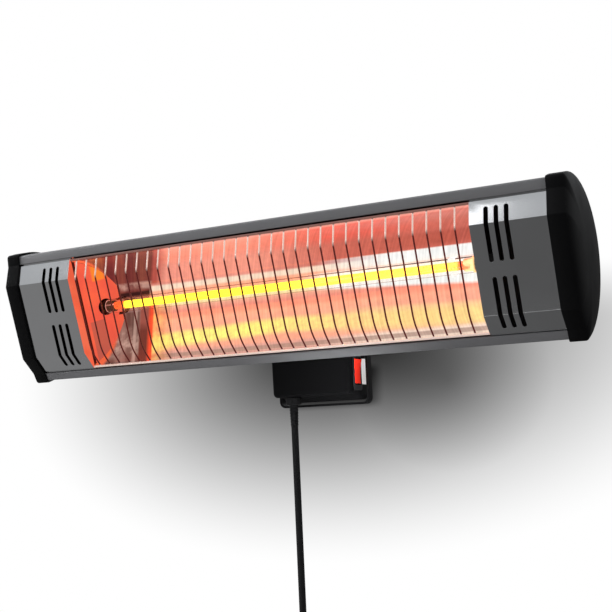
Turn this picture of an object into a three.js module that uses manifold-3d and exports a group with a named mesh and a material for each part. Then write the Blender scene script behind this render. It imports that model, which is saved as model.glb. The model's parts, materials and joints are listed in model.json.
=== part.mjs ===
// Electric infrared bar heater for a wall or ceiling: a D-shaped metal casing with one glowing quartz
// tube behind a wire guard, a switch box on its back and a U-shaped swing bracket round that box.
// Millimetres, +Z up, +X along the casing, +Y away from the room. The origin is the middle of the
// bracket's outer web face. The casing is modelled square in a group of its own, in which +Y runs back
// from the front facet and +Z up along it, and that group is tilted so that the front looks down.
import * as THREE from 'three';
import { mergeVertices } from 'three/addons/utils/BufferGeometryUtils.js';
import Module from 'manifold-3d';

const wasm = await Module();
wasm.setup();

// ---- Driving dimensions, casing ----
const FACE_TILT_DEG = 18;
const CASING_LENGTH = 600;
const FACET_HALF = 42.1;
const SLANT_RISE = 20.2;
const SLANT_DEPTH = 10.5;
const RAIL_GAP = 1.4;
const RAIL_HEIGHT = 9.3;
const RAIL_DEPTH = 2.1;
const RAIL_STEP = 0.3;
const RAIL_CHAMFER = 1;
const BACK_START = 20;
const BACK_DEPTH = 85;
const SHELL_WALL = 1.6;
const RETURN_WALL = 1.3;
const RETURN_DEPTH = 7.2;
const CLEAR = 0.3;
const BACK_SEGMENTS = 30;

// ---- End caps ----
const CAP_PROUD = 2.5;
const CAP_RIM = 15;
const CAP_BULGE = 7;
const CAP_POCKET = 12;
const CAP_SCREW_RADIUS = 3.2;
const CAP_SCREW_HEIGHT = 27;
const DOME_SHRINKS = [0.03, 0.09, 0.22, 0.42, 0.7];

// ---- Slotted front panels ----
const PANEL_WIDTH = 71;
const PANEL_WALL = 1.2;
const PANEL_RETURN = 12.5;
const PANEL_HOOK = 5;
const SLOT_INSET = 25.2;
const SLOT_PITCH = 9.4;
const SLOT_COUNT = 3;
const SLOT_WIDTH = 4.2;
const SLOT_NEAR = 6.8;
const SLOT_FAR = 56.4;
const SLOT_ROUNDING = 0.98;

// ---- Guard grille ----
const WIRE_RADIUS = 1;
const WIRE_PITCH = 13.6;
const WIRE_SHIFT = -2.5;
const WIRE_INSET = 1.6;
const WIRE_SIDES = 6;
const GUARD_ROD_RADIUS = 1.2;

// ---- Reflector ----
const SHEET = 0.8;
const LIP_DEPTH = 12.8;
const LIP_HALF = 61.2;
const LIP_RUN = 2.6;
const LIP_STEP = 0.8;
const TROUGH_DEPTH = 62;
const TROUGH_FLOOR_HALF = 18;
const TROUGH_BELLY_DEPTH = 44;
const TROUGH_BELLY_HALF = 50;
const FLOOR_CORNER = [1, 0.4];
const END_SLANT = 18.5;
const END_HOLE_RADIUS = 9.3;
const BRACE_X = 150;
const BRACE_HALF = 14;
const BRACE_WALL = 1.5;

// ---- Heating tube ----
const TUBE_DEPTH = 42;
const TUBE_RADIUS = 8;
const TUBE_BORE = 6.6;
const TUBE_INSET = 15;
const FILAMENT_RADIUS = 4.4;
const SPIGOT_RADIUS = 6.2;
const SPIGOT_LENGTH = 8.8;
const CERAMIC_LENGTH = 22;
const CERAMIC_BEVEL = 2;
const CLIP_INSET = 19;
const CLIP_WIDTH = 6;
const CLIP_WALL = 1;
const CLIP_STEM_HALF = 3;
const CLIP_MOUTH = 5;
const LEAD_RADIUS = 1.5;
const LEAD_SPACING = 2.1;
const LEAD_BEND = 6;
const LEAD_BEHIND = 13;
const LEAD_GATE = [[13, -10, -4], [3.3, -4.6, -0.6], [LEAD_SPACING, -1, 0]];
const LEAD_FALL = 9;
const CUTOUT_X = 90;
const CUTOUT_RADIUS = 8;
const CUTOUT_HEIGHT = 7;
const CUTOUT_BEVEL = 2;

// ---- Swing bracket ----
const BRACKET_HALF = 55.1;
const BRACKET_WALL = 2.4;
const BRACKET_STRIP = 10;
const BRACKET_BEND = 7;
const BEND_STEPS = 5;
const PIVOT_HEIGHT = 100.2;
const EYE_RADIUS = 9;
const BOLT_RADIUS = 3;
const BOLT_HOLE = 3.3;
const WEB_HOLE_X = 30;
const WEB_HOLE_RADIUS = 2.6;
const WASHER_RADIUS = 8;
const WASHER_WALL = 1.2;
const KNOB_RADIUS = 15;
const KNOB_LENGTH = 14;
const KNOB_LOBES = 6;
const KNOB_LOBE_DEPTH = 0.08;
const KNOB_NECK = [[0, 0.62], [4, 0.72], [5.5, 0.97]];
const KNOB_EDGE = 1.5;
const KNOB_SOCKET = 9;

// ---- Switch box ----
const FACE_RISE = 99.3;
const SADDLE_THIN = 6.45;
const BOX_FRONT = -35.6;
const BOX_DEPTH = 45;
const BOX_BOTTOM = 10.9;
const HEEL_START = 22.6;
const HEEL_RUN = 6;
const HEEL_DROP = 5.7;
const BOX_HEADROOM = 13.2;
const BOX_HALF = 47;
const BOX_DRAFT = 2;
const BOX_WALL = 2.5;
const BOX_CORNER = 5;
const BOX_CORNER_INSIDE = 1.5;
const POST_RADIUS = 4;
const POST_INSET = 5.5;
const POST_LENGTH = 14.5;
const COVER_WALL = 2.5;
const SCREW_RADIUS = 1.5;
const SCREW_HEAD = 3;
const SCREW_HEAD_HEIGHT = 1.8;
const SCREW_TAPER = 0.7;
const SCREW_LENGTH = 10;
const BOSS_RADIUS = 7;
const BOSS_LENGTH = 8;
const SADDLE_HALF = 32;
const SADDLE_BELOW = 42;
const SADDLE_ABOVE = 12;
const SADDLE_REACH = 21;
const SADDLE_SCREW_X = 24;
const SADDLE_SCREW_DROP = 22;
const LEAD_HOLE_RISE = 11.8;
const LEAD_HOLE_RADIUS = 7;
const GROMMET_BORE = 4.4;
const GROMMET_HALF = 5;
const TERMINAL = { x: 40, y: 16, z: 14, drop: 30 };

// ---- Rocker switch and rating plate ----
const ROCKER_Y = -17.6;
const ROCKER_Z = 35.3;
const ROCKER_WIDTH = 16.4;
const ROCKER_HALF = 13.8;
const ROCKER_CROWN = 1.8;
const ROCKER_DISH = 0.9;
const ROCKER_BEVEL = 0.6;
const ROCKER_EDGE = 2;
const ROCKER_ROOT = 3;
const ROCKER_REST_DEG = 5;
const ROCKER_PLAY = 0.4;
const BEZEL_MARGIN = 1.6;
const BEZEL_WALL = 1.2;
const BEZEL_TOP = 1;
const BEZEL_TAIL = 3.4;
const BEZEL_CORNER = 1.5;
const WELL_MARGIN = 0.4;
const WELL_FLOOR = 8;
const SWITCH_DEPTH = 18;
const PLATE_GAP = 1.5;
const PLATE_WIDTH = 12;
const PLATE_HEIGHT = 28;
const PLATE_WALL = 0.6;
const PLATE_CORNER = 1;

// ---- Mains lead ----
const CORD_RADIUS = 3.8;
const CORD_X = -28;
const CORD_Y = -23;
const CORD_LENGTH = 1800;
const CORD_SIDES = 12;
const GLAND_FLANGE = 8.5;
const GLAND_FLANGE_HEIGHT = 8;
const GLAND_SHANK = 5.5;
const GLAND_TIP = 4.2;
const GLAND_TAPER = 4.9;
const GLAND_BEVEL = 1;
const GLAND_NUT = 2;
const GLAND_LENGTH = 32;
const COIL_HEIGHT = -285;
const COIL_RADIUS = 45;
const COIL_TURNS = 5;
const COIL_MARGIN = 0.4;
const COIL_BEVEL = 3;
const TIE_WALL = 1.2;
const TIE_WIDTH = 8;
const PLUG_LENGTH = 38;
const PLUG_HALF_WIDTH = 13.5;
const PLUG_HALF_DEPTH = 12;
const PLUG_NECK = 5.6;
const PLUG_BEVEL = 1;
const BLADE = { width: 1.5, height: 6.35, length: 17.5, spacing: 6.35 };
const PIN_RADIUS = 2.4;
const PIN_LENGTH = 20;
const PIN_DROP = 6;
const PIN_ROOT = 6;

// ---- Sizes worked out from the above ----
const FACE_TILT = THREE.MathUtils.degToRad(FACE_TILT_DEG);
const CAP_INNER = CASING_LENGTH / 2;
const SLANT_HALF = FACET_HALF + SLANT_RISE;
const RAIL_HALF = SLANT_HALF + RAIL_GAP;
const BODY_HALF = RAIL_HALF + RAIL_HEIGHT;
const RAIL_FRONT = SLANT_DEPTH + RAIL_STEP;
const RAIL_BACK = RAIL_FRONT + RAIL_DEPTH;
const CASING_END = CAP_INNER + CAP_POCKET - CLEAR;
const WINDOW_HALF = CAP_INNER - PANEL_WIDTH;
const WIRE_COUNT = 2 * Math.floor((WINDOW_HALF - Math.abs(WIRE_SHIFT) - WIRE_RADIUS) / WIRE_PITCH) + 1;
const TUBE_HALF = WINDOW_HALF - TUBE_INSET;
const CASING_REAR = BACK_START * Math.cos(FACE_TILT)
  + Math.hypot(BACK_DEPTH * Math.cos(FACE_TILT), BODY_HALF * Math.sin(FACE_TILT));
const FACE_TO_PIVOT = CASING_REAR + SADDLE_THIN - BOX_FRONT;
const FACE_HEIGHT = BOX_BOTTOM + FACE_RISE;
const LEAD_HOLE_Z = FACE_HEIGHT + LEAD_HOLE_RISE;
const BOX_TOP = LEAD_HOLE_Z + BOX_HEADROOM;
const TROUGH_SHELL_GAP = TROUGH_DEPTH + SHEET + CLEAR;
const BOX_BACK = BOX_FRONT + BOX_DEPTH;
const HEEL_FRONT = BOX_FRONT + HEEL_START;
const HEEL_BACK = HEEL_FRONT + HEEL_RUN;
const BOX_HEEL = BOX_BOTTOM - HEEL_DROP;
const BRACKET_INNER = BRACKET_HALF - BRACKET_WALL;
const boxHalfAt = (z) => BOX_HALF + (BOX_DRAFT * (z - BOX_BOTTOM)) / (BOX_TOP - BOX_BOTTOM);

// ---- Materials ----
const finish = (color, roughness, metalness) =>
  new THREE.MeshStandardMaterial({ color, roughness, metalness });
const silverGrey = () => finish(0x6c6f72, 0.42, 0.75);
const railGrey = () => finish(0x5c5e60, 0.5, 0.7);
const blackPlastic = () => finish(0x141414, 0.45, 0);
const blackSteel = () => finish(0x161616, 0.4, 0.6);
const mirrorSheet = () => finish(0xd9c8bd, 0.15, 1);
const brightSteel = () => finish(0xb8bbbd, 0.3, 1);
const ceramic = () => finish(0xe6e0d2, 0.7, 0);

// ---- Solids: closed meshes in and out of the boolean library ----
function toSolid(geometry) {
  const bare = geometry.clone();
  bare.deleteAttribute('normal');
  bare.deleteAttribute('uv');
  const merged = mergeVertices(bare, 1e-4);
  const vertProperties = new Float32Array(merged.attributes.position.array);
  const triVerts = new Uint32Array(merged.index.array);
  return new wasm.Manifold(new wasm.Mesh({ numProp: 3, vertProperties, triVerts }));
}

function fromSolid(solid) {
  const mesh = solid.getMesh();
  const geometry = new THREE.BufferGeometry();
  geometry.setAttribute('position', new THREE.BufferAttribute(mesh.vertProperties, 3));
  geometry.setIndex(new THREE.BufferAttribute(mesh.triVerts, 1));
  return geometry;
}

const joined = (...parts) => fromSolid(parts.map(toSolid).reduce((sum, part) => sum.add(part)));
const cut = (base, ...tools) => {
  const rest = tools.map(toSolid).reduce((left, tool) => left.subtract(tool), toSolid(base));
  return fromSolid(rest);
};
const common = (a, b) => fromSolid(toSolid(a).intersect(toSolid(b)));

// ---- Plain shapes ----
function shapeOf(points) {
  return new THREE.Shape(points.map(([a, b]) => new THREE.Vector2(a, b)));
}

function extrude(points, depth) {
  return new THREE.ExtrudeGeometry(shapeOf(points), { depth, bevelEnabled: false });
}

function turned(geometry, x, y, z) {
  return geometry.applyMatrix4(new THREE.Matrix4().makeBasis(x, y, z));
}

const X = new THREE.Vector3(1, 0, 0);
const Y = new THREE.Vector3(0, 1, 0);
const Z = new THREE.Vector3(0, 0, 1);

// Outline in (y, z), swept from x0 to x1.
function alongX(points, x0, x1) {
  return turned(extrude(points, x1 - x0), Y, Z, X).translate(x0, 0, 0);
}

// Outline in (x, z), swept from y0 to y1.
function alongY(points, y0, y1) {
  return turned(extrude(points, y1 - y0), X, Z, Y.clone().negate()).translate(0, y1, 0);
}

// Outline in (x, y), swept from z0 to z1.
function alongZ(points, z0, z1) {
  return extrude(points, z1 - z0).translate(0, 0, z0);
}

function block(x0, x1, y0, y1, z0, z1) {
  const box = new THREE.BoxGeometry(x1 - x0, y1 - y0, z1 - z0);
  return box.translate((x0 + x1) / 2, (y0 + y1) / 2, (z0 + z1) / 2);
}

// Round bar between two values along an axis, centred on the other two coordinates.
function bar(axis, radius, from, to, a, b, sides = 20) {
  const rod = new THREE.CylinderGeometry(radius, radius, to - from, sides).translate(0, (from + to) / 2, 0);
  if (axis === 'x') return turned(rod, Y, X, Z.clone().negate()).translate(0, a, b);
  if (axis === 'z') return turned(rod, X, Z, Y.clone().negate()).translate(a, b, 0);
  return rod.translate(a, 0, b);
}

// Profile of (radius, height) points, turned about a line along an axis.
function lathe(axis, profile, a, b, sides = 24) {
  const round = new THREE.LatheGeometry(profile.map(([r, h]) => new THREE.Vector2(r, h)), sides);
  if (axis === 'x') return turned(round, Y, X, Z.clone().negate()).translate(0, a, b);
  if (axis === 'z') return turned(round, X, Z, Y.clone().negate()).translate(a, b, 0);
  return round.translate(a, 0, b);
}

// Closed profile of a sleeve, for turning.
const ringProfile = (bore, radius, from, to) =>
  [[bore, from], [radius, from], [radius, to], [bore, to], [bore, from]];

function roundedOutline(corners, radius, steps = 4) {
  const points = [];
  corners.forEach((corner, i) => {
    const here = new THREE.Vector2(...corner);
    const before = new THREE.Vector2(...corners[(i + corners.length - 1) % corners.length]).sub(here);
    const after = new THREE.Vector2(...corners[(i + 1) % corners.length]).sub(here);
    const half = Math.acos(before.clone().normalize().dot(after.clone().normalize())) / 2;
    const reach = radius / Math.tan(half);
    const start = here.clone().add(before.setLength(reach));
    const end = here.clone().add(after.setLength(reach));
    const curve = new THREE.QuadraticBezierCurve(start, here, end);
    curve.getPoints(steps).forEach((p) => points.push([p.x, p.y]));
  });
  return points;
}

const rectangle = (x0, x1, z0, z1) => [[x0, z0], [x1, z0], [x1, z1], [x0, z1]];

// Closed outline moved outward by a distance, corner by corner.
function offsetOutline(points, distance) {
  const area = THREE.ShapeUtils.area(points.map(([a, b]) => new THREE.Vector2(a, b)));
  const side = Math.sign(area);
  return points.map(([a, b], i) => {
    const [a0, b0] = points[(i + points.length - 1) % points.length];
    const [a1, b1] = points[(i + 1) % points.length];
    const into = new THREE.Vector2(a - a0, b - b0).normalize();
    const out = new THREE.Vector2(a1 - a, b1 - b).normalize();
    const normal = new THREE.Vector2(into.y + out.y, -into.x - out.x).normalize().multiplyScalar(side);
    const spread = Math.max(normal.dot(new THREE.Vector2(out.y, -out.x).multiplyScalar(side)), 0.5);
    return [a + (normal.x * distance) / spread, b + (normal.y * distance) / spread];
  });
}

// Skin over a row of rings with the same number of points, closed at both ends.
function loft(rings) {
  const count = rings[0].length;
  const vertices = rings.flat();
  const faces = [];
  const middle = (ring) => {
    const sum = new THREE.Vector3();
    ring.forEach((p) => sum.add(p));
    return sum.divideScalar(count);
  };
  vertices.push(middle(rings[0]), middle(rings[rings.length - 1]));
  const first = vertices.length - 2;
  const last = vertices.length - 1;
  const lastRing = (rings.length - 1) * count;
  for (let j = 0; j < count; j += 1) {
    const k = (j + 1) % count;
    faces.push(first, k, j, last, lastRing + j, lastRing + k);
    for (let i = 0; i + 1 < rings.length; i += 1) {
      const a = i * count;
      const b = a + count;
      faces.push(a + j, a + k, b + k, a + j, b + k, b + j);
    }
  }
  const geometry = new THREE.BufferGeometry().setFromPoints(vertices);
  geometry.setIndex(faces);
  return volumeOf(geometry) < 0 ? flipped(geometry) : geometry;
}

function volumeOf(geometry) {
  const p = geometry.attributes.position;
  const at = (i) => new THREE.Vector3().fromBufferAttribute(p, geometry.index.array[i]);
  let sum = 0;
  for (let i = 0; i < geometry.index.count; i += 3) sum += at(i).dot(at(i + 1).cross(at(i + 2)));
  return sum / 6;
}

function flipped(geometry) {
  const index = Array.from(geometry.index.array);
  for (let i = 0; i < index.length; i += 3) [index[i], index[i + 1]] = [index[i + 1], index[i]];
  geometry.setIndex(index);
  return geometry;
}

// Round wire along points, with a ring of points at each, square to the path there.
function wireAlong(points, radius, sides, across) {
  const rings = points.map((point, i) => {
    const into = point.clone().sub(points[Math.max(i - 1, 0)]).normalize();
    const out = points[Math.min(i + 1, points.length - 1)].clone().sub(point).normalize();
    const tangent = into.add(out).normalize();
    const u = across.clone().addScaledVector(tangent, -across.dot(tangent)).normalize();
    const w = tangent.clone().cross(u);
    return Array.from({ length: sides }, (_, k) => {
      const angle = (2 * Math.PI * (k + 0.5)) / sides;
      const spoke = u.clone().multiplyScalar(Math.cos(angle)).addScaledVector(w, Math.sin(angle));
      return point.clone().addScaledVector(spoke, radius);
    });
  });
  return loft(rings);
}

function smoothPath(points, steps) {
  return new THREE.CatmullRomCurve3(points, false, 'centripetal').getSpacedPoints(steps);
}

// ---- Casing ----
// Point of the casing's elliptical back, from the top (0) round to the bottom (pi).
function backPoint(angle, inset = 0) {
  return [BACK_START + (BACK_DEPTH - inset) * Math.sin(angle), (BODY_HALF - inset) * Math.cos(angle)];
}

function backArc(inset, from = 0, to = Math.PI, segments = BACK_SEGMENTS) {
  const step = (to - from) / segments;
  return Array.from({ length: segments + 1 }, (_, i) => backPoint(from + step * i, inset));
}

const mirroredUp = (points) => points.map(([y, z]) => [y, -z]).reverse();

function casingOutline(offset = 0) {
  const front = [[0, FACET_HALF], [SLANT_DEPTH, SLANT_HALF], [RAIL_BACK, BODY_HALF]];
  const outline = [...mirroredUp(front), ...front, ...backArc(0)];
  return offset === 0 ? outline : offsetOutline(outline, offset);
}

function housingShell() {
  const slope = RAIL_DEPTH / RAIL_HEIGHT;
  const innerTop = BODY_HALF - SHELL_WALL;
  const returnHalf = RAIL_HALF + RETURN_WALL;
  const railOuter = [
    [RAIL_FRONT, RAIL_HALF],
    [RAIL_BACK - RAIL_CHAMFER * slope, BODY_HALF - RAIL_CHAMFER],
    [RAIL_BACK + RAIL_CHAMFER, BODY_HALF],
  ];
  const railInner = [
    [RAIL_BACK + SHELL_WALL, innerTop],
    [RAIL_FRONT + SHELL_WALL + slope * RETURN_WALL, returnHalf],
    [RAIL_FRONT + RETURN_DEPTH, returnHalf],
    [RAIL_FRONT + RETURN_DEPTH, RAIL_HALF],
  ];
  railInner.reverse();
  const outer = [...railOuter, ...backArc(0), ...mirroredUp(railOuter)];
  const inner = [...railInner, ...backArc(SHELL_WALL), ...mirroredUp(railInner)];
  const shell = alongX([...outer, ...inner.reverse()], -CASING_END, CASING_END);
  const leadHole = bar('y', LEAD_HOLE_RADIUS, -SADDLE_REACH, SADDLE_REACH, 0, 0);
  leadHole.applyMatrix4(leadHoleInCasing());
  return cut(shell, leadHole, ...capScrewHoles());
}

// The lead hole's axis is level in the room, so in the tilted casing it is turned back.
function leadHoleInCasing() {
  const [y, z] = toCasing(BOX_FRONT - SADDLE_REACH / 3, LEAD_HOLE_Z);
  return new THREE.Matrix4().makeTranslation(0, y, z).multiply(new THREE.Matrix4().makeRotationX(-FACE_TILT));
}

// Room (y, z) to casing (y, z), and back.
function toCasing(y, z) {
  const dy = y + FACE_TO_PIVOT;
  const dz = z - FACE_HEIGHT;
  const c = Math.cos(FACE_TILT);
  const s = Math.sin(FACE_TILT);
  return [dy * c + dz * s, dz * c - dy * s];
}

function toRoom(y, z) {
  const c = Math.cos(FACE_TILT);
  const s = Math.sin(FACE_TILT);
  return [y * c - z * s - FACE_TO_PIVOT, y * s + z * c + FACE_HEIGHT];
}

// ---- End caps: a domed lid with a skirt that the casing's end plugs into ----
function endCap(side) {
  const outline = casingOutline(CAP_PROUD);
  const middle = [BACK_START + BACK_DEPTH / 3, 0];
  const ring = (x, shrink) => outline.map(([y, z]) => {
    const dy = y - middle[0];
    const dz = z - middle[1];
    return new THREE.Vector3(side * x, middle[0] + dy * (1 - shrink), middle[1] + dz * (1 - shrink));
  });
  const rim = CAP_INNER + CAP_RIM;
  const domeRing = (shrink) => ring(rim + CAP_BULGE * Math.sqrt(1 - (1 - shrink) ** 4), shrink);
  const lid = loft([ring(CAP_INNER, 0), ring(rim, 0), ...DOME_SHRINKS.map(domeRing)]);
  const pocket = alongX(casingOutline(CLEAR), -CAP_POCKET, CAP_POCKET).translate(side * CAP_INNER, 0, 0);
  return cut(lid, pocket, ...capScrewPlaces(side).map(capScrewBore));
}

// Two screws hold each cap, through its skirt into the casing's back.
function capScrewPlaces(side) {
  return [-1, 1].map((up) => {
    const angle = Math.acos((up * CAP_SCREW_HEIGHT) / BODY_HALF);
    const [y, z] = backPoint(angle);
    const slope = Math.atan2(z / BODY_HALF ** 2, (y - BACK_START) / BACK_DEPTH ** 2);
    return [side * (CAP_INNER + CAP_POCKET / 2), y, z, slope];
  });
}

function capScrewBore([x, y, z, slope]) {
  return bar('y', CAP_SCREW_RADIUS / 2, -CAP_RIM, CAP_RIM, 0, 0, 12).rotateX(slope).translate(x, y, z);
}

const capScrewHoles = () => [-1, 1].flatMap((side) => capScrewPlaces(side).map(capScrewBore));

function capScrew([x, y, z, slope]) {
  const shank = CAP_SCREW_RADIUS / 2 - CLEAR;
  const seat = CAP_PROUD + CLEAR;
  const profile = [
    [0, -SHELL_WALL - 1], [shank, -SHELL_WALL - 1], [shank, seat], [CAP_SCREW_RADIUS, seat],
    [CAP_SCREW_RADIUS * SCREW_TAPER, seat + SCREW_HEAD_HEIGHT], [0, seat + SCREW_HEAD_HEIGHT],
  ];
  return lathe('y', profile, 0, 0, 16).rotateX(slope).translate(x, y, z);
}

// ---- Front panels: bent sheet with slots, and a return that frames the window ----
function panelSection() {
  const slant = Math.hypot(SLANT_RISE, SLANT_DEPTH);
  const hookHalf = RAIL_HALF - CLEAR;
  const hookStart = SLANT_DEPTH + 2 * PANEL_WALL;
  const innerCrease = FACET_HALF - (PANEL_WALL * (slant - SLANT_RISE)) / SLANT_DEPTH;
  const innerEnd = PANEL_WALL + ((SLANT_HALF - PANEL_WALL - innerCrease) * SLANT_DEPTH) / SLANT_RISE;
  const outer = [
    [0, FACET_HALF], [SLANT_DEPTH, SLANT_HALF], [hookStart, SLANT_HALF],
    [hookStart, hookHalf], [hookStart + PANEL_HOOK, hookHalf],
  ];
  const inner = [
    [PANEL_WALL, innerCrease], [innerEnd, SLANT_HALF - PANEL_WALL],
    [hookStart + PANEL_WALL, SLANT_HALF - PANEL_WALL], [hookStart + PANEL_WALL, hookHalf - PANEL_WALL],
    [hookStart + PANEL_HOOK, hookHalf - PANEL_WALL],
  ];
  return [...mirroredUp(outer), ...outer, ...inner.slice().reverse(), ...mirroredUp(inner).reverse()];
}

function frontPanel(side) {
  const span = (x0, x1) => (side > 0 ? [x0, x1] : [-x1, -x0]);
  const sheet = alongX(panelSection(), ...span(WINDOW_HALF, CASING_END));
  const half = PANEL_WALL / 2;
  const flange = [
    [half, FACET_HALF - half],
    [SLANT_DEPTH, SLANT_HALF - PANEL_WALL],
    [PANEL_RETURN, SLANT_HALF - PANEL_WALL],
  ];
  const frame = span(WINDOW_HALF, WINDOW_HALF + PANEL_WALL);
  const returned = alongX([...flange, ...mirroredUp(flange)], ...frame);
  const slots = [];
  for (let i = 0; i < SLOT_COUNT; i += 1) {
    const x = side * (WINDOW_HALF + SLOT_INSET + (i - (SLOT_COUNT - 1) / 2) * SLOT_PITCH);
    slots.push(slotTool(x, SLOT_NEAR, SLOT_FAR), slotTool(x, -SLOT_FAR, -SLOT_NEAR));
  }
  return cut(joined(sheet, returned), ...slots);
}

function slotTool(x, z0, z1) {
  const r = SLOT_WIDTH / 2;
  const shape = roundedOutline(rectangle(x - r, x + r, z0, z1), r * SLOT_ROUNDING, 3);
  return alongY(shape, -PANEL_WALL, PANEL_RETURN);
}

// ---- Guard grille: bent wires welded to a rod along the top and the bottom ----
function guardPath() {
  const crease = FACET_HALF - WIRE_RADIUS;
  const end = SLANT_HALF - GUARD_ROD_RADIUS - WIRE_RADIUS;
  const rodY = WIRE_INSET + (SLANT_DEPTH / SLANT_RISE) * (end - crease);
  const upper = [[WIRE_INSET, crease], [rodY, end]];
  return [...mirroredUp(upper), ...upper];
}

function grille() {
  const path = guardPath();
  const [rodY, end] = path[path.length - 1];
  const rodZ = end + GUARD_ROD_RADIUS / 2;
  const reach = WINDOW_HALF - CLEAR;
  const pieces = [];
  for (let i = 0; i < WIRE_COUNT; i += 1) {
    const x = WIRE_SHIFT + (i - (WIRE_COUNT - 1) / 2) * WIRE_PITCH;
    const points = path.map(([y, z]) => new THREE.Vector3(x, y, z));
    pieces.push(wireAlong(points, WIRE_RADIUS, WIRE_SIDES, X));
  }
  [-1, 1].forEach((up) => {
    pieces.push(bar('x', GUARD_ROD_RADIUS, -reach, reach, rodY, up * rodZ, 8));
  });
  return joined(...pieces);
}

// ---- Reflector trough, its two slanted ends and its braces ----
function troughHalf(offset) {
  const wall = new THREE.QuadraticBezierCurve(
    new THREE.Vector2(LIP_DEPTH + LIP_STEP, LIP_HALF - LIP_RUN),
    new THREE.Vector2(TROUGH_BELLY_DEPTH, TROUGH_BELLY_HALF),
    new THREE.Vector2(TROUGH_DEPTH, TROUGH_FLOOR_HALF),
  );
  const points = [[LIP_DEPTH, LIP_HALF], ...wall.getPoints(8).map((p) => [p.x, p.y])];
  return points.map(([y, z], i) => {
    const [y0, z0] = points[Math.max(i - 1, 0)];
    const [y1, z1] = points[Math.min(i + 1, points.length - 1)];
    const length = Math.hypot(y1 - y0, z1 - z0);
    const last = i === points.length - 1;
    const [ny, nz] = last ? FLOOR_CORNER : [(z0 - z1) / length, (y1 - y0) / length];
    return [y + ny * offset, z + nz * offset];
  });
}

function troughOutline(offset) {
  const half = troughHalf(offset);
  return [...half, ...mirroredUp(half)];
}

// Seen from above, the trough narrows towards the back by the slant of its ends.
function troughPlan(inset, over = 0) {
  const front = WINDOW_HALF + PANEL_WALL - inset;
  const y0 = PANEL_RETURN + CLEAR;
  const y1 = TROUGH_DEPTH + SHEET;
  const halfAt = (y) => front - (END_SLANT * (y - y0)) / (y1 - y0);
  const near = -over;
  const far = y1 + over;
  return [[-halfAt(near), near], [halfAt(near), near], [halfAt(far), far], [-halfAt(far), far]];
}

function reflector() {
  const outer = troughOutline(SHEET);
  const inner = troughOutline(0);
  const section = [...outer, ...inner.reverse()];
  const reach = WINDOW_HALF - CLEAR;
  const plan = alongZ(troughPlan(CLEAR), -BODY_HALF, BODY_HALF);
  return common(alongX(section, -reach, reach), plan);
}

function reflectorEnd(side) {
  const filled = alongX(troughOutline(-CLEAR), ...(side > 0 ? [0, CAP_INNER] : [-CAP_INNER, 0]));
  const plate = cut(
    alongZ(troughPlan(0), -BODY_HALF, BODY_HALF),
    alongZ(troughPlan(SHEET, 1), -BODY_HALF - 1, BODY_HALF + 1),
  );
  const front = PANEL_RETURN + CLEAR;
  const back = TROUGH_DEPTH - CLEAR;
  const between = block(-CAP_INNER, CAP_INNER, front, back, -BODY_HALF, BODY_HALF);
  const hole = bar('x', END_HOLE_RADIUS, -CAP_INNER, CAP_INNER, TUBE_DEPTH, 0);
  return cut(common(common(plate, filled), between), hole);
}

function reflectorBrace(side) {
  const near = Math.acos(BRACE_HALF / (BODY_HALF - SHELL_WALL - CLEAR));
  const back = backArc(SHELL_WALL + CLEAR, near, Math.PI - near, 6);
  const section = [[TROUGH_SHELL_GAP, -BRACE_HALF], [TROUGH_SHELL_GAP, BRACE_HALF], ...back];
  return alongX(section, -BRACE_WALL / 2, BRACE_WALL / 2).translate(side * BRACE_X, 0, 0);
}

// ---- Heating tube ----
function quartzTube() {
  return lathe('x', ringProfile(TUBE_BORE, TUBE_RADIUS, -TUBE_HALF, TUBE_HALF), TUBE_DEPTH, 0);
}

function filament() {
  const reach = TUBE_HALF - SPIGOT_LENGTH;
  return bar('x', FILAMENT_RADIUS, -reach, reach, TUBE_DEPTH, 0, 16);
}

function ceramicEnd(side) {
  const shoulder = TUBE_HALF + CLEAR;
  const end = shoulder + CERAMIC_LENGTH;
  const profile = [
    [0, shoulder - SPIGOT_LENGTH], [SPIGOT_RADIUS, shoulder - SPIGOT_LENGTH],
    [SPIGOT_RADIUS, shoulder], [TUBE_RADIUS, shoulder],
    [TUBE_RADIUS, end - CERAMIC_BEVEL], [TUBE_RADIUS - CERAMIC_BEVEL, end], [0, end],
  ];
  const plug = lathe('x', profile, TUBE_DEPTH, 0);
  return side > 0 ? plug : plug.rotateZ(Math.PI).translate(0, 2 * TUBE_DEPTH, 0);
}

function tubeClip(side) {
  const inner = TUBE_RADIUS + CLEAR;
  const outer = inner + CLIP_WALL;
  const ring = cut(
    bar('x', outer, -CLIP_WIDTH / 2, CLIP_WIDTH / 2, TUBE_DEPTH, 0),
    bar('x', inner, -CLIP_WIDTH, CLIP_WIDTH, TUBE_DEPTH, 0),
    block(-CLIP_WIDTH, CLIP_WIDTH, TUBE_DEPTH - 2 * outer, TUBE_DEPTH - CLIP_MOUTH, -outer, outer),
  );
  const root = TUBE_DEPTH + inner + CLIP_WALL / 2;
  const foot = TROUGH_DEPTH - CLEAR;
  const stem = block(-CLIP_WIDTH / 2, CLIP_WIDTH / 2, root, foot, -CLIP_STEM_HALF, CLIP_STEM_HALF);
  return joined(ring, stem).translate(side * (TUBE_HALF - CLIP_INSET), 0, 0);
}

function thermalCutout() {
  const face = TROUGH_SHELL_GAP;
  const top = face + CUTOUT_HEIGHT;
  const can = [
    [0, face], [CUTOUT_RADIUS, face], [CUTOUT_RADIUS, top - CUTOUT_BEVEL],
    [CUTOUT_RADIUS - CUTOUT_BEVEL, top], [0, top],
  ];
  return lathe('y', can, CUTOUT_X, 0);
}

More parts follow.
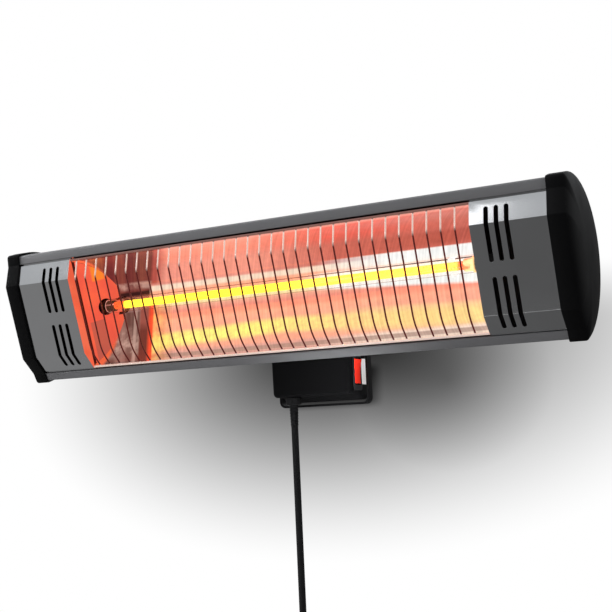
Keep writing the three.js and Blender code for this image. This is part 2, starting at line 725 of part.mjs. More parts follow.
// Wire from a tube end, along behind the reflector, out through the grommet and down to the terminals.
function tubeLead(side) {
  const start = TUBE_HALF + CLEAR + CERAMIC_LENGTH + 2 * CLEAR;
  const behind = TROUGH_DEPTH + LEAD_BEHIND;
  const level = -BRACE_HALF - LEAD_BEND;
  const inCasing = [
    [start, TUBE_DEPTH, 0],
    [start + LEAD_BEND, TUBE_DEPTH, 0],
    [start + 1.5 * LEAD_BEND, TUBE_DEPTH + 2 * LEAD_BEND, -LEAD_BEND],
    [start, behind - 1.5 * LEAD_BEND, level + LEAD_BEND],
    [start - 3 * LEAD_BEND, behind, level],
    [BRACE_X - 5 * LEAD_BEND, behind, level],
    [SADDLE_HALF, behind + LEAD_BEND / 2, level - LEAD_BEND / 2],
  ];
  const gate = BOX_FRONT - SADDLE_REACH / 2;
  const inner = BOX_FRONT + BOX_WALL;
  const fall = inner + LEAD_FALL;
  const screw = TERMINAL.x / 5;
  const top = LEAD_HOLE_Z - TERMINAL.drop + TERMINAL.z / 2 + CLEAR;
  const through = [
    ...LEAD_GATE.map(([x, y, z]) => [x, gate + y, LEAD_HOLE_Z + z]),
    [LEAD_SPACING, inner, LEAD_HOLE_Z],
    [LEAD_SPACING + LEAD_BEND / 6, fall - LEAD_BEND / 2, LEAD_HOLE_Z - LEAD_BEND * 0.7],
    [screw, fall, top + LEAD_BEND],
    [screw, fall, top],
  ];
  const inside = inCasing.map(([x, y, z]) => new THREE.Vector3(side * x, ...toRoom(y, z)));
  const outside = through.map(([x, y, z]) => new THREE.Vector3(side * x, y, z));
  const across = new THREE.Vector3(0.1, 0.3, 1).normalize();
  return wireAlong(smoothPath([...inside, ...outside], 48), LEAD_RADIUS, 6, across);
}

function grommet() {
  const sleeve = ringProfile(GROMMET_BORE, LEAD_HOLE_RADIUS - CLEAR, -GROMMET_HALF, GROMMET_HALF);
  return lathe('y', sleeve, 0, 0).translate(0, BOX_FRONT - SADDLE_REACH / 3, LEAD_HOLE_Z);
}

// ---- Switch box: its underside is flat in front, round the lead, and steps down to a heel behind ----
function boxFloorAt(y) {
  const share = THREE.MathUtils.clamp((y - HEEL_FRONT) / HEEL_RUN, 0, 1);
  return BOX_BOTTOM - share * HEEL_DROP;
}

function boxOutline(inset, floor) {
  const low = boxHalfAt(floor) - inset;
  const high = boxHalfAt(BOX_TOP) - inset;
  const bottom = floor + inset;
  const top = BOX_TOP - inset;
  const corners = [[-low, bottom], [low, bottom], [high, top], [-high, top]];
  return roundedOutline(corners, Math.max(BOX_CORNER - inset, BOX_CORNER_INSIDE));
}

function boxForm(inset, front, back) {
  const ring = (y) => boxOutline(inset, boxFloorAt(y)).map(([x, z]) => new THREE.Vector3(x, y, z));
  return loft([front, HEEL_FRONT, HEEL_BACK, back].map(ring));
}

function postPlaces() {
  const low = BOX_HEEL + POST_INSET;
  const high = BOX_TOP - POST_INSET;
  return [low, high].flatMap((z) => [-1, 1].map((side) => [side * (boxHalfAt(z) - POST_INSET), z]));
}

const screwBore = (x, z, from, to) => bar('y', SCREW_RADIUS + CLEAR, from, to, x, z, 12);
const inOrder = (a, b) => [Math.min(a, b), Math.max(a, b)];

function controlBox() {
  const inner = BOX_FRONT + BOX_WALL;
  const shell = cut(boxForm(0, BOX_FRONT, BOX_BACK), boxForm(BOX_WALL, inner, BOX_BACK + 1));
  const posts = postPlaces().map(([x, z]) =>
    bar('y', POST_RADIUS, BOX_BACK - POST_LENGTH, BOX_BACK, x, z, 16));
  const pivotWall = boxHalfAt(PIVOT_HEIGHT) - BOX_WALL / 2;
  const bossEnd = pivotWall - BOX_WALL / 2 - BOSS_LENGTH;
  const bosses = [-1, 1].map((side) =>
    bar('x', BOSS_RADIUS, ...inOrder(side * pivotWall, side * bossEnd), 0, PIVOT_HEIGHT));
  return cut(
    joined(shell, ...posts, ...bosses),
    bar('x', BOLT_HOLE, -BRACKET_HALF, BRACKET_HALF, 0, PIVOT_HEIGHT),
    bar('y', LEAD_HOLE_RADIUS - 1, BOX_FRONT - 1, inner + 1, 0, LEAD_HOLE_Z),
    bar('z', GLAND_SHANK + CLEAR, BOX_BOTTOM - 1, BOX_BOTTOM + BOX_WALL + 1, CORD_X, CORD_Y),
    switchBlock(CLEAR, BRACKET_HALF),
    ...saddleScrewPlaces().map(([x, z]) => screwBore(x, z, BOX_FRONT - 1, inner + 1)),
    ...postPlaces().map(([x, z]) => screwBore(x, z, BOX_BACK - SCREW_LENGTH - 2, BOX_BACK + 1)),
  );
}

function boxCover() {
  const front = BOX_BACK + CLEAR;
  const back = front + COVER_WALL;
  const holes = postPlaces().map(([x, z]) => screwBore(x, z, BOX_BACK, back + 1));
  return cut(alongY(boxOutline(0, BOX_HEEL), front, back), ...holes);
}

// Pan-head screw along Y whose head seats at y and whose shank runs towards the front.
function screwForward(x, y, z) {
  const profile = [
    [0, -SCREW_LENGTH], [SCREW_RADIUS, -SCREW_LENGTH], [SCREW_RADIUS, 0], [SCREW_HEAD, 0],
    [SCREW_HEAD, SCREW_HEAD_HEIGHT / 2], [SCREW_HEAD * SCREW_TAPER, SCREW_HEAD_HEIGHT],
    [0, SCREW_HEAD_HEIGHT],
  ];
  return lathe('y', profile, 0, 0, 12).translate(x, y, z);
}

const coverScrew = ([x, z]) => screwForward(x, BOX_BACK + CLEAR + COVER_WALL + CLEAR, z);
const saddleScrew = ([x, z]) => screwForward(x, BOX_FRONT + BOX_WALL + CLEAR, z);

function saddleScrewPlaces() {
  return [-1, 1].map((side) => [side * SADDLE_SCREW_X, LEAD_HOLE_Z - SADDLE_SCREW_DROP]);
}

// The saddle fills the wedge between the casing's round back and the box's flat front.
function mountingSaddle() {
  const rear = BOX_FRONT - CLEAR;
  const front = rear - SADDLE_REACH;
  const [low, high] = [LEAD_HOLE_Z - SADDLE_BELOW, LEAD_HOLE_Z + SADDLE_ABOVE];
  const wedge = block(-SADDLE_HALF, SADDLE_HALF, front, rear, low, high);
  const casing = alongX(casingOutline(CLEAR), -SADDLE_HALF - 1, SADDLE_HALF + 1);
  casing.rotateX(FACE_TILT).translate(0, -FACE_TO_PIVOT, FACE_HEIGHT);
  const screws = saddleScrewPlaces().map(([x, z]) => screwBore(x, z, front - 1, rear + 1));
  const leadHole = bar('y', LEAD_HOLE_RADIUS + CLEAR, front - 1, rear + 1, 0, LEAD_HOLE_Z);
  return cut(wedge, casing, leadHole, ...screws);
}

function terminalBlock() {
  const back = BOX_FRONT + BOX_WALL + CLEAR;
  const { x, y, z, drop } = TERMINAL;
  const height = LEAD_HOLE_Z - drop;
  return block(-x / 2, x / 2, back, back + y, height - z / 2, height + z / 2);
}

// ---- Rocker switch on the box's right side ----
const switchFace = () => boxHalfAt(ROCKER_Z + ROCKER_HALF + BEZEL_TAIL) + CLEAR;

const bezelHalfWidth = ROCKER_WIDTH / 2 + ROCKER_PLAY + BEZEL_MARGIN;
const bezelHalfHeight = ROCKER_HALF + 2 * ROCKER_PLAY + BEZEL_MARGIN + BEZEL_TOP;

function switchBlock(play, reach) {
  const halfWidth = bezelHalfWidth - BEZEL_MARGIN / 2 + play;
  const halfHeight = bezelHalfHeight - BEZEL_MARGIN / 2 + play;
  const [low, high] = [ROCKER_Z - halfHeight, ROCKER_Z + halfHeight];
  const root = switchFace() - SWITCH_DEPTH;
  return block(root, reach, ROCKER_Y - halfWidth, ROCKER_Y + halfWidth, low, high);
}

function switchBody() {
  const face = switchFace();
  const front = face + BEZEL_WALL;
  const [near, far] = [ROCKER_Y - bezelHalfWidth, ROCKER_Y + bezelHalfWidth];
  const low = ROCKER_Z - bezelHalfHeight - BEZEL_TAIL;
  const outline = roundedOutline(rectangle(near, far, low, ROCKER_Z + bezelHalfHeight), BEZEL_CORNER, 2);
  const wellHalf = ROCKER_HALF + 2 * ROCKER_PLAY + WELL_MARGIN;
  const sideHalf = ROCKER_WIDTH / 2 + ROCKER_PLAY;
  const [wellLow, wellHigh] = [ROCKER_Z - wellHalf, ROCKER_Z + wellHalf];
  const [left, right] = [ROCKER_Y - sideHalf, ROCKER_Y + sideHalf];
  const well = block(face - WELL_FLOOR, front + 1, left, right, wellLow, wellHigh);
  return cut(joined(switchBlock(0, face + BEZEL_WALL / 2), alongX(outline, face, front)), well);
}

// The key rests with its lower end pressed in.
function rockerKey() {
  const end = ROCKER_CROWN - ROCKER_EDGE;
  const tip = ROCKER_HALF - ROCKER_BEVEL;
  const section = [
    [-ROCKER_ROOT, -ROCKER_HALF * 0.8], [end, -ROCKER_HALF], [ROCKER_CROWN, -tip],
    [ROCKER_CROWN - ROCKER_DISH, 0],
    [ROCKER_CROWN, tip], [end, ROCKER_HALF], [-ROCKER_ROOT, ROCKER_HALF * 0.8],
  ];
  const key = alongY(section, -ROCKER_WIDTH / 2, ROCKER_WIDTH / 2);
  key.rotateY(THREE.MathUtils.degToRad(ROCKER_REST_DEG));
  return key.translate(switchFace(), ROCKER_Y, ROCKER_Z);
}

function ratingPlate() {
  const y0 = ROCKER_Y + bezelHalfWidth + PLATE_GAP;
  const z0 = ROCKER_Z - PLATE_HEIGHT / 2;
  const face = boxHalfAt(z0 + PLATE_HEIGHT) + CLEAR;
  const sheet = rectangle(y0, y0 + PLATE_WIDTH, z0, z0 + PLATE_HEIGHT);
  const outline = roundedOutline(sheet, PLATE_CORNER, 2);
  return alongX(outline, face, face + PLATE_WALL);
}

// ---- Swing bracket and its two clamps ----
// Only the strap's two lower corners are bent; the upper two are its free ends.
function strapBends(half, bottom, radius) {
  const corners = [[-half, PIVOT_HEIGHT], [-half, bottom], [half, bottom], [half, PIVOT_HEIGHT]];
  const each = BEND_STEPS + 1;
  return roundedOutline(corners, radius, BEND_STEPS).slice(each, 3 * each);
}

function swingBracket() {
  const half = BRACKET_HALF;
  const section = [
    [-half, PIVOT_HEIGHT], ...strapBends(half, 0, BRACKET_BEND), [half, PIVOT_HEIGHT],
    [BRACKET_INNER, PIVOT_HEIGHT],
    ...strapBends(BRACKET_INNER, BRACKET_WALL, BRACKET_BEND - BRACKET_WALL).reverse(),
    [-BRACKET_INNER, PIVOT_HEIGHT],
  ];
  const strap = alongY(section, -BRACKET_STRIP / 2, BRACKET_STRIP / 2);
  const eyes = [-1, 1].map((side) =>
    bar('x', EYE_RADIUS, ...inOrder(side * BRACKET_INNER, side * half), 0, PIVOT_HEIGHT, 24));
  return cut(
    joined(strap, ...eyes),
    bar('x', BOLT_HOLE, -half - 1, half + 1, 0, PIVOT_HEIGHT),
    ...[-1, 1].map((side) => bar('z', WEB_HOLE_RADIUS, -1, BRACKET_WALL + 1, side * WEB_HOLE_X, 0, 16)),
  );
}

// Round piece on the pivot line, between two distances from the middle.
function onPivot(side, profile, sides = 24) {
  const mirrored = profile.map(([r, h]) => [r, side * h]);
  const ordered = side > 0 ? mirrored : mirrored.reverse();
  return lathe('x', ordered, 0, PIVOT_HEIGHT, sides);
}

function pivotBush(side) {
  const face = boxHalfAt(PIVOT_HEIGHT + WASHER_RADIUS) + CLEAR;
  return onPivot(side, ringProfile(BOLT_HOLE, WASHER_RADIUS, face, BRACKET_INNER - CLEAR));
}

const washerFace = BRACKET_HALF + CLEAR;
const knobFace = washerFace + WASHER_WALL + CLEAR;

function clampWasher(side) {
  return onPivot(side, ringProfile(BOLT_HOLE, WASHER_RADIUS, washerFace, washerFace + WASHER_WALL));
}

function clampBolt(side) {
  const tip = boxHalfAt(PIVOT_HEIGHT) - BOX_WALL - BOSS_LENGTH;
  const end = knobFace + KNOB_SOCKET - CLEAR;
  return onPivot(side, [[0, tip], [BOLT_RADIUS, tip], [BOLT_RADIUS, end], [0, end]], 20);
}

function clampKnob(side) {
  const count = KNOB_LOBES * 6;
  const points = Array.from({ length: count }, (_, i) => {
    const angle = (2 * Math.PI * i) / count;
    const r = KNOB_RADIUS * (1 - KNOB_LOBE_DEPTH * (1 - Math.cos(KNOB_LOBES * angle)));
    return [r * Math.cos(angle), r * Math.sin(angle)];
  });
  const ring = ([along, scale]) => points.map(([y, z]) =>
    new THREE.Vector3(side * (knobFace + along), y * scale, z * scale + PIVOT_HEIGHT));
  const crown = [[KNOB_LENGTH - KNOB_EDGE, 1], [KNOB_LENGTH, 0.9]];
  const socket = inOrder(side * (knobFace - 1), side * (knobFace + KNOB_SOCKET));
  return cut(loft([...KNOB_NECK, ...crown].map(ring)), bar('x', BOLT_HOLE, ...socket, 0, PIVOT_HEIGHT));
}

// ---- Mains lead: straight down, then a tied coil with the plug hanging under it ----
const glandTip = BOX_BOTTOM - GLAND_LENGTH;

function cordGland() {
  const seat = BOX_BOTTOM - CLEAR;
  const flange = seat - GLAND_FLANGE_HEIGHT;
  const inside = BOX_BOTTOM + BOX_WALL + GLAND_NUT;
  const profile = [
    [0, glandTip], [GLAND_TIP, glandTip], [GLAND_TAPER, flange - GLAND_BEVEL],
    [GLAND_FLANGE - GLAND_BEVEL, flange], [GLAND_FLANGE, flange + GLAND_BEVEL], [GLAND_FLANGE, seat],
    [GLAND_SHANK, seat], [GLAND_SHANK, inside], [0, inside],
  ];
  return lathe('z', profile, CORD_X, CORD_Y);
}

// The turns lie side by side, so the cord joins the coil at its back and leaves it at its front.
const coilX = CORD_X + COIL_RADIUS;
const coilShift = 2 * CORD_RADIUS * COIL_TURNS;
const coilY = CORD_Y - coilShift / 2;
const coilRing = {
  inner: COIL_RADIUS - CORD_RADIUS - COIL_MARGIN,
  outer: COIL_RADIUS + CORD_RADIUS + COIL_MARGIN,
  half: coilShift / 2 + CORD_RADIUS + COIL_MARGIN,
};
const TAIL_X = CORD_X;
const TAIL_Y = CORD_Y - coilShift;
const turnsLength = COIL_TURNS * Math.hypot(2 * Math.PI * COIL_RADIUS, 2 * CORD_RADIUS);
const tailLength = CORD_LENGTH - turnsLength - (glandTip - COIL_HEIGHT);
const plugTop = COIL_HEIGHT - tailLength;

function straightCord(x, y, top, bottom) {
  const path = new THREE.LineCurve3(new THREE.Vector3(x, y, bottom), new THREE.Vector3(x, y, top));
  const section = Array.from({ length: CORD_SIDES }, (_, i) => {
    const angle = (2 * Math.PI * i) / CORD_SIDES;
    return [CORD_RADIUS * Math.cos(angle), CORD_RADIUS * Math.sin(angle)];
  });
  const steps = Math.max(2, Math.round((top - bottom) / (6 * CORD_RADIUS)));
  const along = { extrudePath: path, steps, bevelEnabled: false };
  return new THREE.ExtrudeGeometry(shapeOf(section), along);
}

// Height of the coil's outside above or below its middle, at a distance x from it.
const coilReach = (x) => Math.sqrt(coilRing.outer ** 2 - (Math.abs(x - coilX) - CORD_RADIUS) ** 2);

function cordHanging() {
  return straightCord(CORD_X, CORD_Y, glandTip - CLEAR, COIL_HEIGHT + coilReach(CORD_X) + CLEAR);
}

function cordTail() {
  return straightCord(TAIL_X, TAIL_Y, COIL_HEIGHT - coilReach(TAIL_X) - CLEAR, plugTop);
}

function cordCoil() {
  const { inner, outer, half } = coilRing;
  const near = inner + COIL_BEVEL;
  const far = outer - COIL_BEVEL;
  const side = half - COIL_BEVEL;
  const profile = [
    [inner, -side], [near, -half], [far, -half], [outer, -side],
    [outer, side], [far, half], [near, half], [inner, side], [inner, -side],
  ];
  return lathe('y', profile, 0, 0, 36).translate(coilX, coilY, COIL_HEIGHT);
}

function coilTie() {
  const { inner, outer, half } = coilRing;
  const halfWidth = TIE_WIDTH / 2;
  const sag = inner - Math.sqrt(inner ** 2 - halfWidth ** 2);
  const loop = (grow, width) =>
    block(-width, width, -half - grow, half + grow, inner - sag - grow, outer + grow);
  const tie = cut(loop(CLEAR + TIE_WALL, halfWidth), loop(CLEAR, TIE_WIDTH));
  return tie.translate(coilX, coilY, COIL_HEIGHT);
}

function plugBody() {
  const top = plugTop - CLEAR;
  const count = 28;
  const ring = ([drop, hx, hy, power]) => Array.from({ length: count }, (_, i) => {
    const angle = (2 * Math.PI * i) / count;
    const round = (value) => Math.sign(value) * Math.abs(value) ** power;
    const x = TAIL_X + hx * round(Math.cos(angle));
    const y = TAIL_Y + hy * round(Math.sin(angle));
    return new THREE.Vector3(x, y, top - drop);
  });
  // Distance from the top, half width, half depth and squareness of each section.
  const sections = [
    [0, PLUG_NECK - PLUG_BEVEL, PLUG_NECK - PLUG_BEVEL, 1],
    [PLUG_LENGTH * 0.38, PLUG_NECK, PLUG_NECK, 1],
    [PLUG_LENGTH * 0.5, PLUG_HALF_WIDTH * 0.8, PLUG_HALF_DEPTH * 0.8, 0.8],
    [PLUG_LENGTH * 0.62, PLUG_HALF_WIDTH, PLUG_HALF_DEPTH, 0.6],
    [PLUG_LENGTH - PLUG_BEVEL, PLUG_HALF_WIDTH, PLUG_HALF_DEPTH, 0.6],
    [PLUG_LENGTH, PLUG_HALF_WIDTH - PLUG_BEVEL, PLUG_HALF_DEPTH - PLUG_BEVEL, 0.6],
  ];
  return cut(loft(sections.map(ring)), plugBlade(-1, CLEAR), plugBlade(1, CLEAR), groundPin(CLEAR));
}

function plugBlade(side, play) {
  const face = plugTop - CLEAR - PLUG_LENGTH;
  const halfX = BLADE.width / 2 + play;
  const halfY = BLADE.height / 2 + play;
  const x = TAIL_X + side * BLADE.spacing;
  const y = TAIL_Y - PIN_DROP / 2;
  return block(x - halfX, x + halfX, y - halfY, y + halfY, face - BLADE.length, face + PIN_ROOT + play);
}

function groundPin(play) {
  const face = plugTop - CLEAR - PLUG_LENGTH;
  const top = face + PIN_ROOT + play;
  return bar('z', PIN_RADIUS + play, face - PIN_LENGTH, top, TAIL_X, TAIL_Y + PIN_DROP, 16);
}

// ---- Assembly ----
const heater = new THREE.Group();
const casing = new THREE.Group();
casing.position.set(0, -FACE_TO_PIVOT, FACE_HEIGHT);
casing.rotation.x = FACE_TILT;
heater.add(casing);

function add(group, name, geometry, material) {
  const mesh = new THREE.Mesh(geometry, material);
  mesh.name = name;
  group.add(mesh);
}

const sides = [['left', -1], ['right', 1]];

add(casing, 'housing_shell', housingShell(), railGrey());
add(casing, 'grille', grille(), brightSteel());
add(casing, 'reflector', reflector(), mirrorSheet());
add(casing, 'quartz_tube', quartzTube(), finish(0xffd9a0, 0.1, 0));
add(casing, 'filament', filament(), finish(0xffc21a, 0.6, 0));
add(casing, 'thermal_cutout', thermalCutout(), brightSteel());
add(heater, 'lead_grommet', grommet(), finish(0x1c1c1c, 0.8, 0));
add(heater, 'mounting_saddle', mountingSaddle(), finish(0x9a9c9e, 0.5, 0.8));
add(heater, 'control_box', controlBox(), blackPlastic());
add(heater, 'box_cover', boxCover(), blackPlastic());
add(heater, 'terminal_block', terminalBlock(), finish(0xd8d4c4, 0.6, 0));
add(heater, 'switch_body', switchBody(), blackPlastic());
add(heater, 'switch_rocker', rockerKey(), finish(0xb3170c, 0.25, 0));
add(heater, 'rating_plate', ratingPlate(), finish(0xcfc9c8, 0.5, 0.1));
add(heater, 'swing_bracket', swingBracket(), blackSteel());
add(heater, 'cord_gland', cordGland(), blackPlastic());
add(heater, 'cord_hanging', cordHanging(), blackPlastic());
add(heater, 'cord_coil', cordCoil(), blackPlastic());
add(heater, 'cord_tail', cordTail(), blackPlastic());
add(heater, 'coil_tie', coilTie(), finish(0x202020, 0.8, 0));
add(heater, 'plug_body', plugBody(), blackPlastic());
add(heater, 'plug_ground_pin', groundPin(0), finish(0xc9a34a, 0.3, 1));

sides.forEach(([name, side]) => {
  add(casing, `end_cap_${name}`, endCap(side), blackPlastic());
  add(casing, `front_panel_${name}`, frontPanel(side), silverGrey());
  add(casing, `reflector_end_${name}`, reflectorEnd(side), mirrorSheet());
  add(casing, `reflector_brace_${name}`, reflectorBrace(side), brightSteel());
  add(casing, `tube_end_${name}`, ceramicEnd(side), ceramic());
  add(casing, `tube_clip_${name}`, tubeClip(side), brightSteel());
  add(heater, `tube_lead_${name}`, tubeLead(side), finish(0xc8c2b0, 0.8, 0));
  add(heater, `pivot_bush_${name}`, pivotBush(side), finish(0x2a2a2a, 0.6, 0));
  add(heater, `clamp_washer_${name}`, clampWasher(side), brightSteel());
  add(heater, `clamp_bolt_${name}`, clampBolt(side), brightSteel());
  add(heater, `clamp_knob_${name}`, clampKnob(side), blackPlastic());
  add(heater, `plug_blade_${name}`, plugBlade(side, 0), finish(0xc9a34a, 0.3, 1));
  capScrewPlaces(side).forEach((place, i) => {
    add(casing, `end_cap_screw_${name}_${i + 1}`, capScrew(place), brightSteel());
  });
});
postPlaces().forEach((place, i) => {
  add(heater, `cover_screw_${i + 1}`, coverScrew(place), brightSteel());
});
saddleScrewPlaces().forEach((place, i) => {
  add(heater, `saddle_screw_${i + 1}`, saddleScrew(place), brightSteel());
});

export default heater;
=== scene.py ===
"""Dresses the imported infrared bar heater: a lit quartz tube in a mirror trough behind a wire guard,
slotted panels and black caps at its ends, and behind it a switch box in a steel swing bracket, with its
mains lead hanging down to a tied coil. +Z up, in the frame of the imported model. Shapes are worked out in
millimetres and become metres when their mesh is made. The stage, the lights and the noise are in metres."""
import json
import math

import bmesh
import bpy
from mathutils import Matrix, Vector


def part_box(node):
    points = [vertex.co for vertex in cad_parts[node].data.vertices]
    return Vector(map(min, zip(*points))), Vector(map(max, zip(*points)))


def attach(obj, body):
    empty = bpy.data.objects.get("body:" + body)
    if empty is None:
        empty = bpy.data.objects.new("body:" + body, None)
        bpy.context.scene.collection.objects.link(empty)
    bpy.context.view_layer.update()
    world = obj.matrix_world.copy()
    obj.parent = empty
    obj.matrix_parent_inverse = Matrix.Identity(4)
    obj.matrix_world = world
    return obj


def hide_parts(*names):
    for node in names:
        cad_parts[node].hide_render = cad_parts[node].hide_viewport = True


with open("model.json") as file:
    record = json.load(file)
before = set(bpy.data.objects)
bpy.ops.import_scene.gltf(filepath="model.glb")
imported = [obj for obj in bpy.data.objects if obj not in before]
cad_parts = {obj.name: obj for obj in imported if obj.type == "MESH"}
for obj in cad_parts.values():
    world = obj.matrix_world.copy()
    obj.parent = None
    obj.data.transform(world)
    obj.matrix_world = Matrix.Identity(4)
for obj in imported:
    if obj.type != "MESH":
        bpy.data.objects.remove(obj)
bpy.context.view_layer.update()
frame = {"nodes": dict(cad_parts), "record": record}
NODES = frame["nodes"]
BODY_OF = {node: body for body, nodes in frame["record"]["behaviour"]["bodies"].items() for node in nodes}
SIDES = (("left", -1), ("right", 1))
MM = 0.001
MERGE = 1e-6

# ---- Casing frame: the casing's own square coordinates (along, depth, up), tilted to face down ----
TILT = math.radians(18)
FACE_CENTRE = Vector((0, -145, 110.2))
CASING = Matrix.Translation(FACE_CENTRE) @ Matrix.Rotation(TILT, 4, "X")
LEVEL = Matrix.Identity(4)


def points_of(node, inside=LEVEL):
    """A node's points, in the model's frame or in another."""
    back = inside.inverted()
    return [back @ (v.co / MM) for v in NODES[node].data.vertices]


def span(node, inside=CASING):
    """Lowest and highest corner of a node, in the casing's coordinates or another frame's."""
    points = points_of(node, inside)
    return tuple(Vector([pick(p[i] for p in points) for i in range(3)]) for pick in (min, max))


def box_of(node):
    """Lowest and highest corner of a node, in the model's frame."""
    return tuple(Vector(corner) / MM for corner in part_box(node))


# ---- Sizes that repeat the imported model's ----
FACET_HALF = 42.1
SLANT_DEPTH = 10.5
SLANT_HALF = 62.3
CREASE_RADIUS = 1.6
HOOK_RADIUS = 1.5
PANEL_WALL = 1.2
PANEL_RETURN = 12.5
PANEL_HOOK = 5
SLOT_INSET = 25.2
SLOT_PITCH = 9.4
SLOT_RADIUS = 2.1
SLOT_NEAR = 6.8
SLOT_FAR = 56.4
WIRE_PITCH = 13.6
WIRE_SHIFT = -2.5
WIRE_RADIUS = 0.85
WIRE_INSET = 1.6
WIRE_BENDS = (40, 5)
GUARD_ROD = 1.2
TROUGH_LIP = (12.8, 61.2)
TROUGH_CURVE = ((13.6, 58.6), (44, 50), (62, 18))
TROUGH_REACH = 5.6
TROUGH_END = 5.1
TROUGH_SLOPE = 0.37
TUBE_DEPTH = 42
TUBE_BORE = 6.6
TUBE_RADIUS = 8
TUBE_LEAN = math.radians(10.7)
END_HOLE = 9.3
HOT_PITCH = 1.4
HOT_TURN = 3.85
HOT_WIRE = 0.55
CLIP_BORE = 8.3
CLIP_MOUTH = math.acos(5 / 8.6)
BACK_START = 20
CAP_PROUD = 2.5
CAP_RIM = 15
CAP_BULGE = 7
CAP_POCKET = 12
RAIL_HALF = 63.7
RAIL_BACK = 12.9
RAIL_EDGE = 0.9
RETURN_WALL = 1.3
RETURN_DEPTH = 7.2
SHELL_WALL = 1.6
SHEET = 0.8
LEAD_HOLE = Vector((0, -42.6, 122))
BOX_BOTTOM = 10.9
BOX_TOP = 135.2
BOX_FRONT = -35.6
BOX_BACK = 9.4
BOX_HALF = 47
BOX_DRAFT = 2
BOX_WALL = 2.5
BOX_CORNER = 5
BOX_SOFT = 3
BOX_HEEL = 5.2
HEEL_FRONT = -13
HEEL_BACK = -7
HEEL_EASE = 0.8
SWITCH_FACE = 47.97
ROCKER_AT = Vector((47.97, -17.6, 35.3))
ROCKER_HALF = 13.8
ROCKER_SIDE = 8.2
ROCKER_CROWN = 1.8
ROCKER_DISH = 0.9
ROCKER_ROOT = 3
ROCKER_REST = math.radians(5)
WELL = Vector((8, 8.6, 15))
PIVOT_HEIGHT = 100.2
PIVOT_BORE = 3.3
KNOB_RADIUS = 15
BRACKET_HALF = 55.1
BRACKET_WALL = 2.4
BRACKET_BEND = 7
BRACKET_SIDE = 5
BRACKET_EYE = 9
WEB_HOLE = 2.6
WEB_HOLE_X = 30
GLAND_TIP_Z = -21.1
CORD_X = -28
CORD_Y = -23
CORD_RADIUS = 3.8
COIL_X = 17
COIL_Z = -285
COIL_TURNS = 5
COIL_RADIUS = 45
TIE_HALF = 4
SCREW_HEAD = 1.8
TAIL_Y = -61
PLUG_TOP = -406.9

SHELL_LOW, SHELL_HIGH = span("housing_shell")
BODY_HALF = SHELL_HIGH.z
WINDOW_HALF = span("front_panel_right")[0].x
CAP_INNER = span("end_cap_right")[0].x

# ---- Camera, where the photograph's stood ----
CAMERA_AT = Vector((518.2, -1051.6, -21.8)) * MM
CAMERA_RIGHT = Vector((0.88719, 0.45912, -0.04587))
CAMERA_FORWARD = Vector((-0.45194, 0.88472, 0.11411))
LENS_MM = 61.78
SENSOR_MM = 36


def link(name, data):
    """A new object of this data, in the scene."""
    thing = bpy.data.objects.new(name, data)
    bpy.context.scene.collection.objects.link(thing)
    return thing


def make_camera():
    data = bpy.data.cameras.new("camera")
    data.lens = LENS_MM
    data.sensor_width = SENSOR_MM
    camera = link("camera", data)
    forward = CAMERA_FORWARD.normalized()
    right = (CAMERA_RIGHT - CAMERA_RIGHT.dot(forward) * forward).normalized()
    turn = Matrix((right, right.cross(forward), -forward)).transposed()
    camera.matrix_world = Matrix.Translation(CAMERA_AT) @ turn.to_4x4()
    bpy.context.scene.camera = camera


# ---- Meshes ----
def meshed(name, shape):
    """Mesh in metres of points and faces in millimetres, merged where they meet and turned outward."""
    mesh = bpy.data.meshes.new(name)
    mesh.from_pydata([Vector(v) * MM for v in shape[0]], [], shape[1])
    tool = bmesh.new()
    tool.from_mesh(mesh)
    bmesh.ops.remove_doubles(tool, verts=tool.verts, dist=MERGE)
    bmesh.ops.recalc_face_normals(tool, faces=tool.faces)
    tool.to_mesh(mesh)
    tool.free()
    return mesh


def make(name, shape, material, *nodes, smooth=35, bevel=0.0):
    """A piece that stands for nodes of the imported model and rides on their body, smooth up to an angle."""
    piece = link(name, meshed(name, shape))
    mesh = piece.data
    mesh.materials.append(material)
    if bevel:
        edge = piece.modifiers.new("edge", "BEVEL")
        edge.width = bevel * MM
        edge.segments = 3
        edge.limit_method = "ANGLE"
        edge.angle_limit = math.radians(smooth)
        edge.harden_normals = True
    mesh.shade_smooth()
    mesh.set_sharp_from_angle(angle=math.radians(smooth))
    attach(piece, BODY_OF[nodes[0]])
    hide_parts(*nodes)
    return piece


def carve(target, *tools):
    """A closed body with other bodies taken out of it, as points and faces."""
    body = link("body", meshed("body", target))
    cutters = [link("cutter", meshed("cutter", shape)) for shape in tools]
    for cutter in cutters:
        step = body.modifiers.new("cut", "BOOLEAN")
        step.operation = "DIFFERENCE"
        step.solver = "EXACT"
        step.object = cutter
    bpy.context.view_layer.update()
    graph = bpy.context.evaluated_depsgraph_get()
    mesh = bpy.data.meshes.new_from_object(body.evaluated_get(graph))
    for piece in (body, *cutters):
        bpy.data.objects.remove(piece)
    return [v.co / MM for v in mesh.vertices], [tuple(f.vertices) for f in mesh.polygons]


def turns(count):
    return [2 * math.pi * k / count for k in range(count)]


def quarter(steps):
    """Pairs of (1 - cosine, 1 - sine) over a quarter turn."""
    return [(1 - math.cos(a), 1 - math.sin(a)) for a in (math.pi / 2 * k / steps for k in range(steps + 1))]


def loft(rings, closed=False, capped=True):
    """Skin over rings with the same number of points."""
    count = len(rings[0])
    vertices = [p for ring in rings for p in ring]
    faces = []
    for i in range(len(rings) if closed else len(rings) - 1):
        a, b = i * count, ((i + 1) % len(rings)) * count
        faces += [(a + j, a + (j + 1) % count, b + (j + 1) % count, b + j) for j in range(count)]
    if capped and not closed:
        faces += [tuple(reversed(range(count))), tuple(range(len(vertices) - count, len(vertices)))]
    return vertices, faces


def merge(*parts):
    vertices, faces = [], []
    for part_vertices, part_faces in parts:
        start = len(vertices)
        vertices += list(part_vertices)
        faces += [tuple(start + i for i in face) for face in part_faces]
    return vertices, faces


